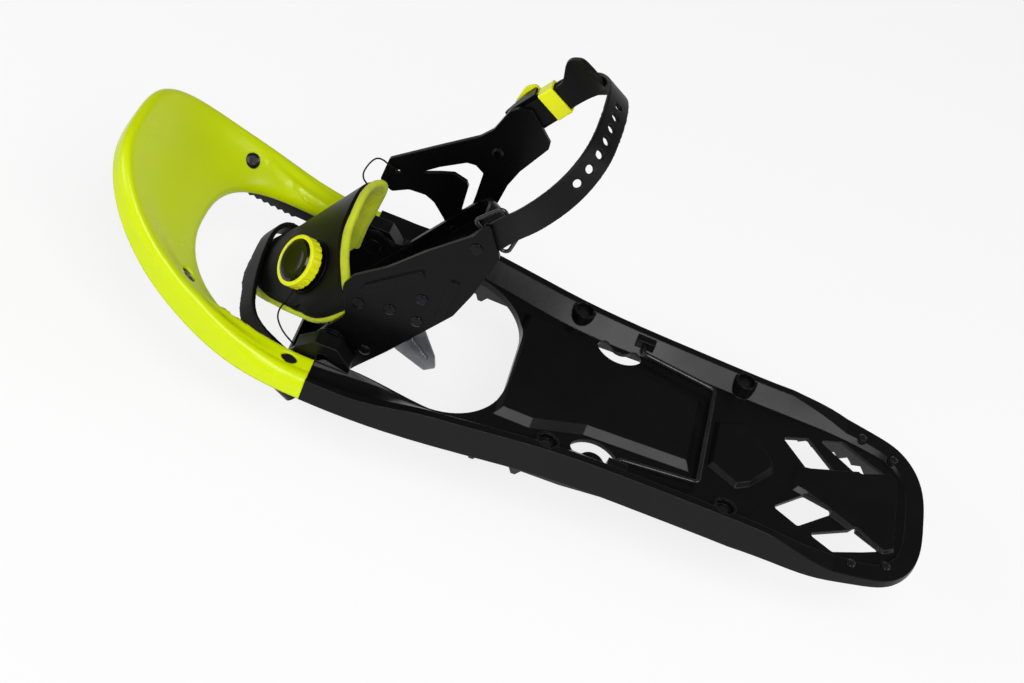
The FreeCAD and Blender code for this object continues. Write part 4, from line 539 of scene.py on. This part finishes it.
linerRoll = {"across": 3.6, "thick": 2.7, "setBack": 1.4, "lift": -0.8, "slot": "lime_foam"}
wrapPiping = {"across": 0.9, "thick": 0.9, "setBack": linerRoll["across"] + 1.2, "lift": 1.6,
              "slot": "black_wrap"}
rollMesh = {"sides": 16, "leastSize": 0.05}


def makeRoll(name, edge, roll):
    # padded edge: an oval section led along an edge, with rounded ends
    frames = edgeFrames(edge, roll["setBack"])
    sides = rollMesh["sides"]
    form = bmesh.new()
    loops = []
    for place, outward, kept in frames:
        fromEnd = min((place - frames[0][0]).length, (place - frames[-1][0]).length)
        share = min(fromEnd / roll["across"], 1.0)
        size = max(math.sqrt(1 - (1 - share) ** 2), rollMesh["leastSize"])
        middle = place + outward * roll["lift"]
        loop = []
        for side in range(sides):
            turn = 2 * math.pi * side / sides
            oval = kept * roll["across"] * math.cos(turn) + outward * roll["thick"] * math.sin(turn)
            loop.append(form.verts.new(foot(*(middle + size * oval))))
        loops.append(loop)
    for one, two in zip(loops, loops[1:]):
        for side in range(sides):
            form.faces.new((one[side - 1], one[side], two[side], two[side - 1]))
    form.faces.new(loops[0])
    form.faces.new(loops[-1])
    bmesh.ops.recalc_face_normals(form, faces=form.faces)
    mesh = bpy.data.meshes.new(name)
    form.to_mesh(mesh)
    form.free()
    addPiece(name, mesh, roll["slot"])


makeSoftForm("instepWrap", instepWrap)
makeSoftForm("wrapBase", wrapBase)
makeSoftForm("limeLiner", limeLiner)
makeSoftForm("toeStrap", toeStrap)
makeSoftForm("heelStrap", heelStrap)
for edge in ("front", "rear"):
    makeRoll(edge + "LinerRoll", edge, linerRoll)
    makeRoll(edge + "WrapPiping", edge, wrapPiping)
print("wrap, liner and straps formed")


# the two arms beside the toe opening: their upper face lies flat, from the opening to the outer wall; in mm
arms = {"edge": 74.0, "lift": 6.5, "slope": 1.02, "fall": -7.8, "edgeHeight": -9.5, "crestHeight": 4.2,
        "foot": -18.0, "rear": (50.0, 115.0), "crestFront": (150.0, 240.0), "edgeFront": (180.0, 250.0),
        "facet": 7.0, "rounds": 3, "margin": 1.0, "pivotAt": Vector((0.0, 135.5, -2.0))}
arms["origin"] = binding["pivot"] - arms["pivotAt"] * mm
armPieces = {"deckShell": ("deck", "black_moulded"), "toeCapShell": ("toe_cap", "lime_moulded"),
             "toeCapRivets": ("cap_rivets", "dark_rivet")}


def onShoe(point):
    return (point - arms["origin"]) / mm


def armShift(place):
    # how far a point of an arm goes up or down, in mm
    reach = abs(place.x) - arms["edge"]
    if reach < 0:
        return 0.0
    shift = max(arms["lift"] - arms["slope"] * reach, arms["fall"])
    span = (arms["crestHeight"] - arms["edgeHeight"]) * arms["slope"] / (arms["lift"] - arms["fall"])
    top = min(arms["edgeHeight"] + span * reach, arms["crestHeight"])
    height = min(max((place.z - arms["foot"]) / (top - arms["foot"]), 0.0), 1.0)
    front = arms["edgeFront"] if shift > 0 else arms["crestFront"]
    return shift * height * easeStep(place.y, *arms["rear"]) * (1 - easeStep(place.y, *front))


def isCoarse(edge):
    # a long edge of an arm, which has to be cut before it can bend
    ends = [onShoe(vertex.co) for vertex in edge.verts]
    onArm = all(abs(end.x) > arms["edge"] - arms["margin"] for end in ends)
    beside = any(arms["rear"][0] < end.y < arms["edgeFront"][1] for end in ends)
    return onArm and beside and edge.calc_length() > arms["facet"] * mm


def makeArms():
    for name, (node, slotName) in armPieces.items():
        form = bmesh.new()
        form.from_mesh(nodes[node].data)
        for cut in range(arms["rounds"]):
            bmesh.ops.subdivide_edges(form, edges=[edge for edge in form.edges if isCoarse(edge)], cuts=1)
        bmesh.ops.triangulate(form, faces=[face for face in form.faces if len(face.verts) > 3])
        for vertex in form.verts:
            vertex.co.z += armShift(onShoe(vertex.co)) * mm
        mesh = bpy.data.meshes.new(name)
        form.to_mesh(mesh)
        form.free()
        piece = addPiece(name, mesh, slotName, "frame", smooth=False)
        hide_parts(node)


makeArms()
print("arms of the deck and cap shaped")


# laces of the dial closure

laceLeft = {"length": 0.067, "node": "lace_left",
            "route": [onDial(-9.4, 9.0, 3.8), onDial(-17.6, 16.9, 3.8), foot(-42.5, -26.0, 33.4),
                      foot(-46.5, -31.0, 22.0), foot(-49.5, -30.0, 9.0), foot(-49.5, -30.0, 3.0),
                      foot(-55.8, -30.0, 3.0)]}
laceRight = {"length": 0.044, "node": "lace_right",
             "route": [foot(45.0, 42.0, 45.4), foot(45.0, 42.0, 52.0), foot(51.0, 52.0, 55.5),
                       foot(51.0, 62.0, 55.0), foot(51.0, 63.0, 40.0), foot(55.6, 63.0, 38.0)]}
laceShape = {"radius": 0.6 * mm, "degree": 3, "along": 12, "around": 4}


def makeLace(name, given):
    curve = bpy.data.curves.new(name, "CURVE")
    curve.dimensions = "3D"
    spline = curve.splines.new("NURBS")
    spline.points.add(len(given["route"]) - 1)
    for knot, place in zip(spline.points, given["route"]):
        knot.co = (*place, 1.0)
    spline.order_u = laceShape["degree"]
    spline.use_endpoint_u = True
    curve.resolution_u = laceShape["along"]
    curve.bevel_depth = laceShape["radius"]
    curve.bevel_resolution = laceShape["around"]
    lace = bpy.data.objects.new(name, curve)
    bpy.context.scene.collection.objects.link(lace)
    curve.materials.append(materials["black_cord"])
    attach(lace, "binding")
    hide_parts(given["node"])


makeLace("laceLeft", laceLeft)
makeLace("laceRight", laceRight)
print("laces routed")


# camera, lamps and floor

camera = {"fromPivot": Vector((-0.93268, -0.040622, 0.850516)), "right": (0.2094145, -0.9244755, 0.3185759),
          "up": (0.6361376, 0.3762335, 0.6736299), "back": (-0.7426133, 0.0615902, 0.6668824),
          "lens": 62.58, "sensor": 36.0, "farEnd": 60.0}
lamps = {"softboxKey": {"place": (-1.5, -0.3, 1.9), "aim": (0, 0, 0.1), "size": (1.4, 1.4), "power": 44},
         "softboxToe": {"place": (-0.9, 1.9, 1.3), "aim": (0, 0, 0.1), "size": (1.2, 0.9), "power": 22},
         "softboxTail": {"place": (-0.2, -2.0, 1.4), "aim": (0, -0.1, 0.1), "size": (1.4, 0.6), "power": 14}}
floorLook = {"size": 14.0, "colour": (0.86, 0.86, 0.86, 1), "roughness": 0.9, "glow": 0.82,
             "glowColour": (1, 1, 1, 1), "glowStrength": 1.0}
dome = {"colour": (1, 1, 1, 1), "horizon": 0.9, "overhead": 0.10, "fade": (0.02, 0.22), "seen": 1.0}


def makeCamera():
    data = bpy.data.cameras.new("camera")
    data.lens = camera["lens"]
    data.sensor_width = camera["sensor"]
    data.clip_end = camera["farEnd"]
    eye = bpy.data.objects.new("camera", data)
    bpy.context.scene.collection.objects.link(eye)
    columns = Matrix((camera["right"], camera["up"], camera["back"])).transposed()
    eye.matrix_world = Matrix.Translation(binding["pivot"] + camera["fromPivot"]) @ columns.to_4x4()
    bpy.context.scene.camera = eye


def makeLamps():
    for name, lamp in lamps.items():
        data = bpy.data.lights.new(name, "AREA")
        data.shape = "RECTANGLE"
        data.size, data.size_y = lamp["size"]
        data.energy = lamp["power"]
        box = bpy.data.objects.new(name, data)
        bpy.context.scene.collection.objects.link(box)
        box.location = lamp["place"]
        ahead = Vector(lamp["aim"]) - Vector(lamp["place"])
        box.rotation_euler = ahead.to_track_quat("-Z", "Y").to_euler()


def seenDirectly(tree):
    # 1 for what the camera sees straight on, in a mirror or through glass
    path = tree.nodes.new("ShaderNodeLightPath").outputs
    seen = mathNode(tree, "ADD", path["Is Camera Ray"], path["Is Glossy Ray"], True)
    return mathNode(tree, "ADD", seen, path["Is Transmission Ray"], True)


def makeFloor():
    # pale floor that keeps the shadow and looks nearly white where it is seen
    half = floorLook["size"] / 2
    mesh = bpy.data.meshes.new("studioFloor")
    corners = [(-half, -half, 0), (half, -half, 0), (half, half, 0), (-half, half, 0)]
    mesh.from_pydata(corners, [], [(0, 1, 2, 3)])
    floor = bpy.data.objects.new("studioFloor", mesh)
    bpy.context.scene.collection.objects.link(floor)
    material, tree, shader = startMaterial("paleFloor", floorLook["colour"], floorLook["roughness"])
    glow = addNode(tree, "ShaderNodeEmission", {"Color": floorLook["glowColour"],
                                                "Strength": floorLook["glowStrength"]})
    share = mathNode(tree, "MULTIPLY", seenDirectly(tree), floorLook["glow"])
    both = addNode(tree, "ShaderNodeMixShader", {0: share, 1: shader.outputs[0], 2: glow.outputs[0]})
    tree.links.new(both.outputs[0], tree.nodes["Material Output"].inputs["Surface"])
    mesh.materials.append(material)


def makeDome():
    # light from all round, pale near the floor and dimmer overhead, plain where the camera sees it
    world = bpy.data.worlds.new("studioDome")
    bpy.context.scene.world = world
    world.use_nodes = True
    tree = world.node_tree
    direction = tree.nodes.new("ShaderNodeTexCoord").outputs["Generated"]
    height = addNode(tree, "ShaderNodeSeparateXYZ", {0: direction}).outputs["Z"]
    level = mapTo(tree, height, *dome["fade"], dome["horizon"], dome["overhead"])
    straight = tree.nodes.new("ShaderNodeLightPath").outputs["Is Camera Ray"]
    background = tree.nodes["Background"].inputs
    tree.links.new(mapTo(tree, straight, 0.0, 1.0, level, dome["seen"]), background["Strength"])
    background["Color"].default_value = dome["colour"]


makeCamera()
makeLamps()
makeFloor()
makeDome()
bpy.context.scene.view_settings.view_transform = "Standard"
print("camera, lamps and floor placed")
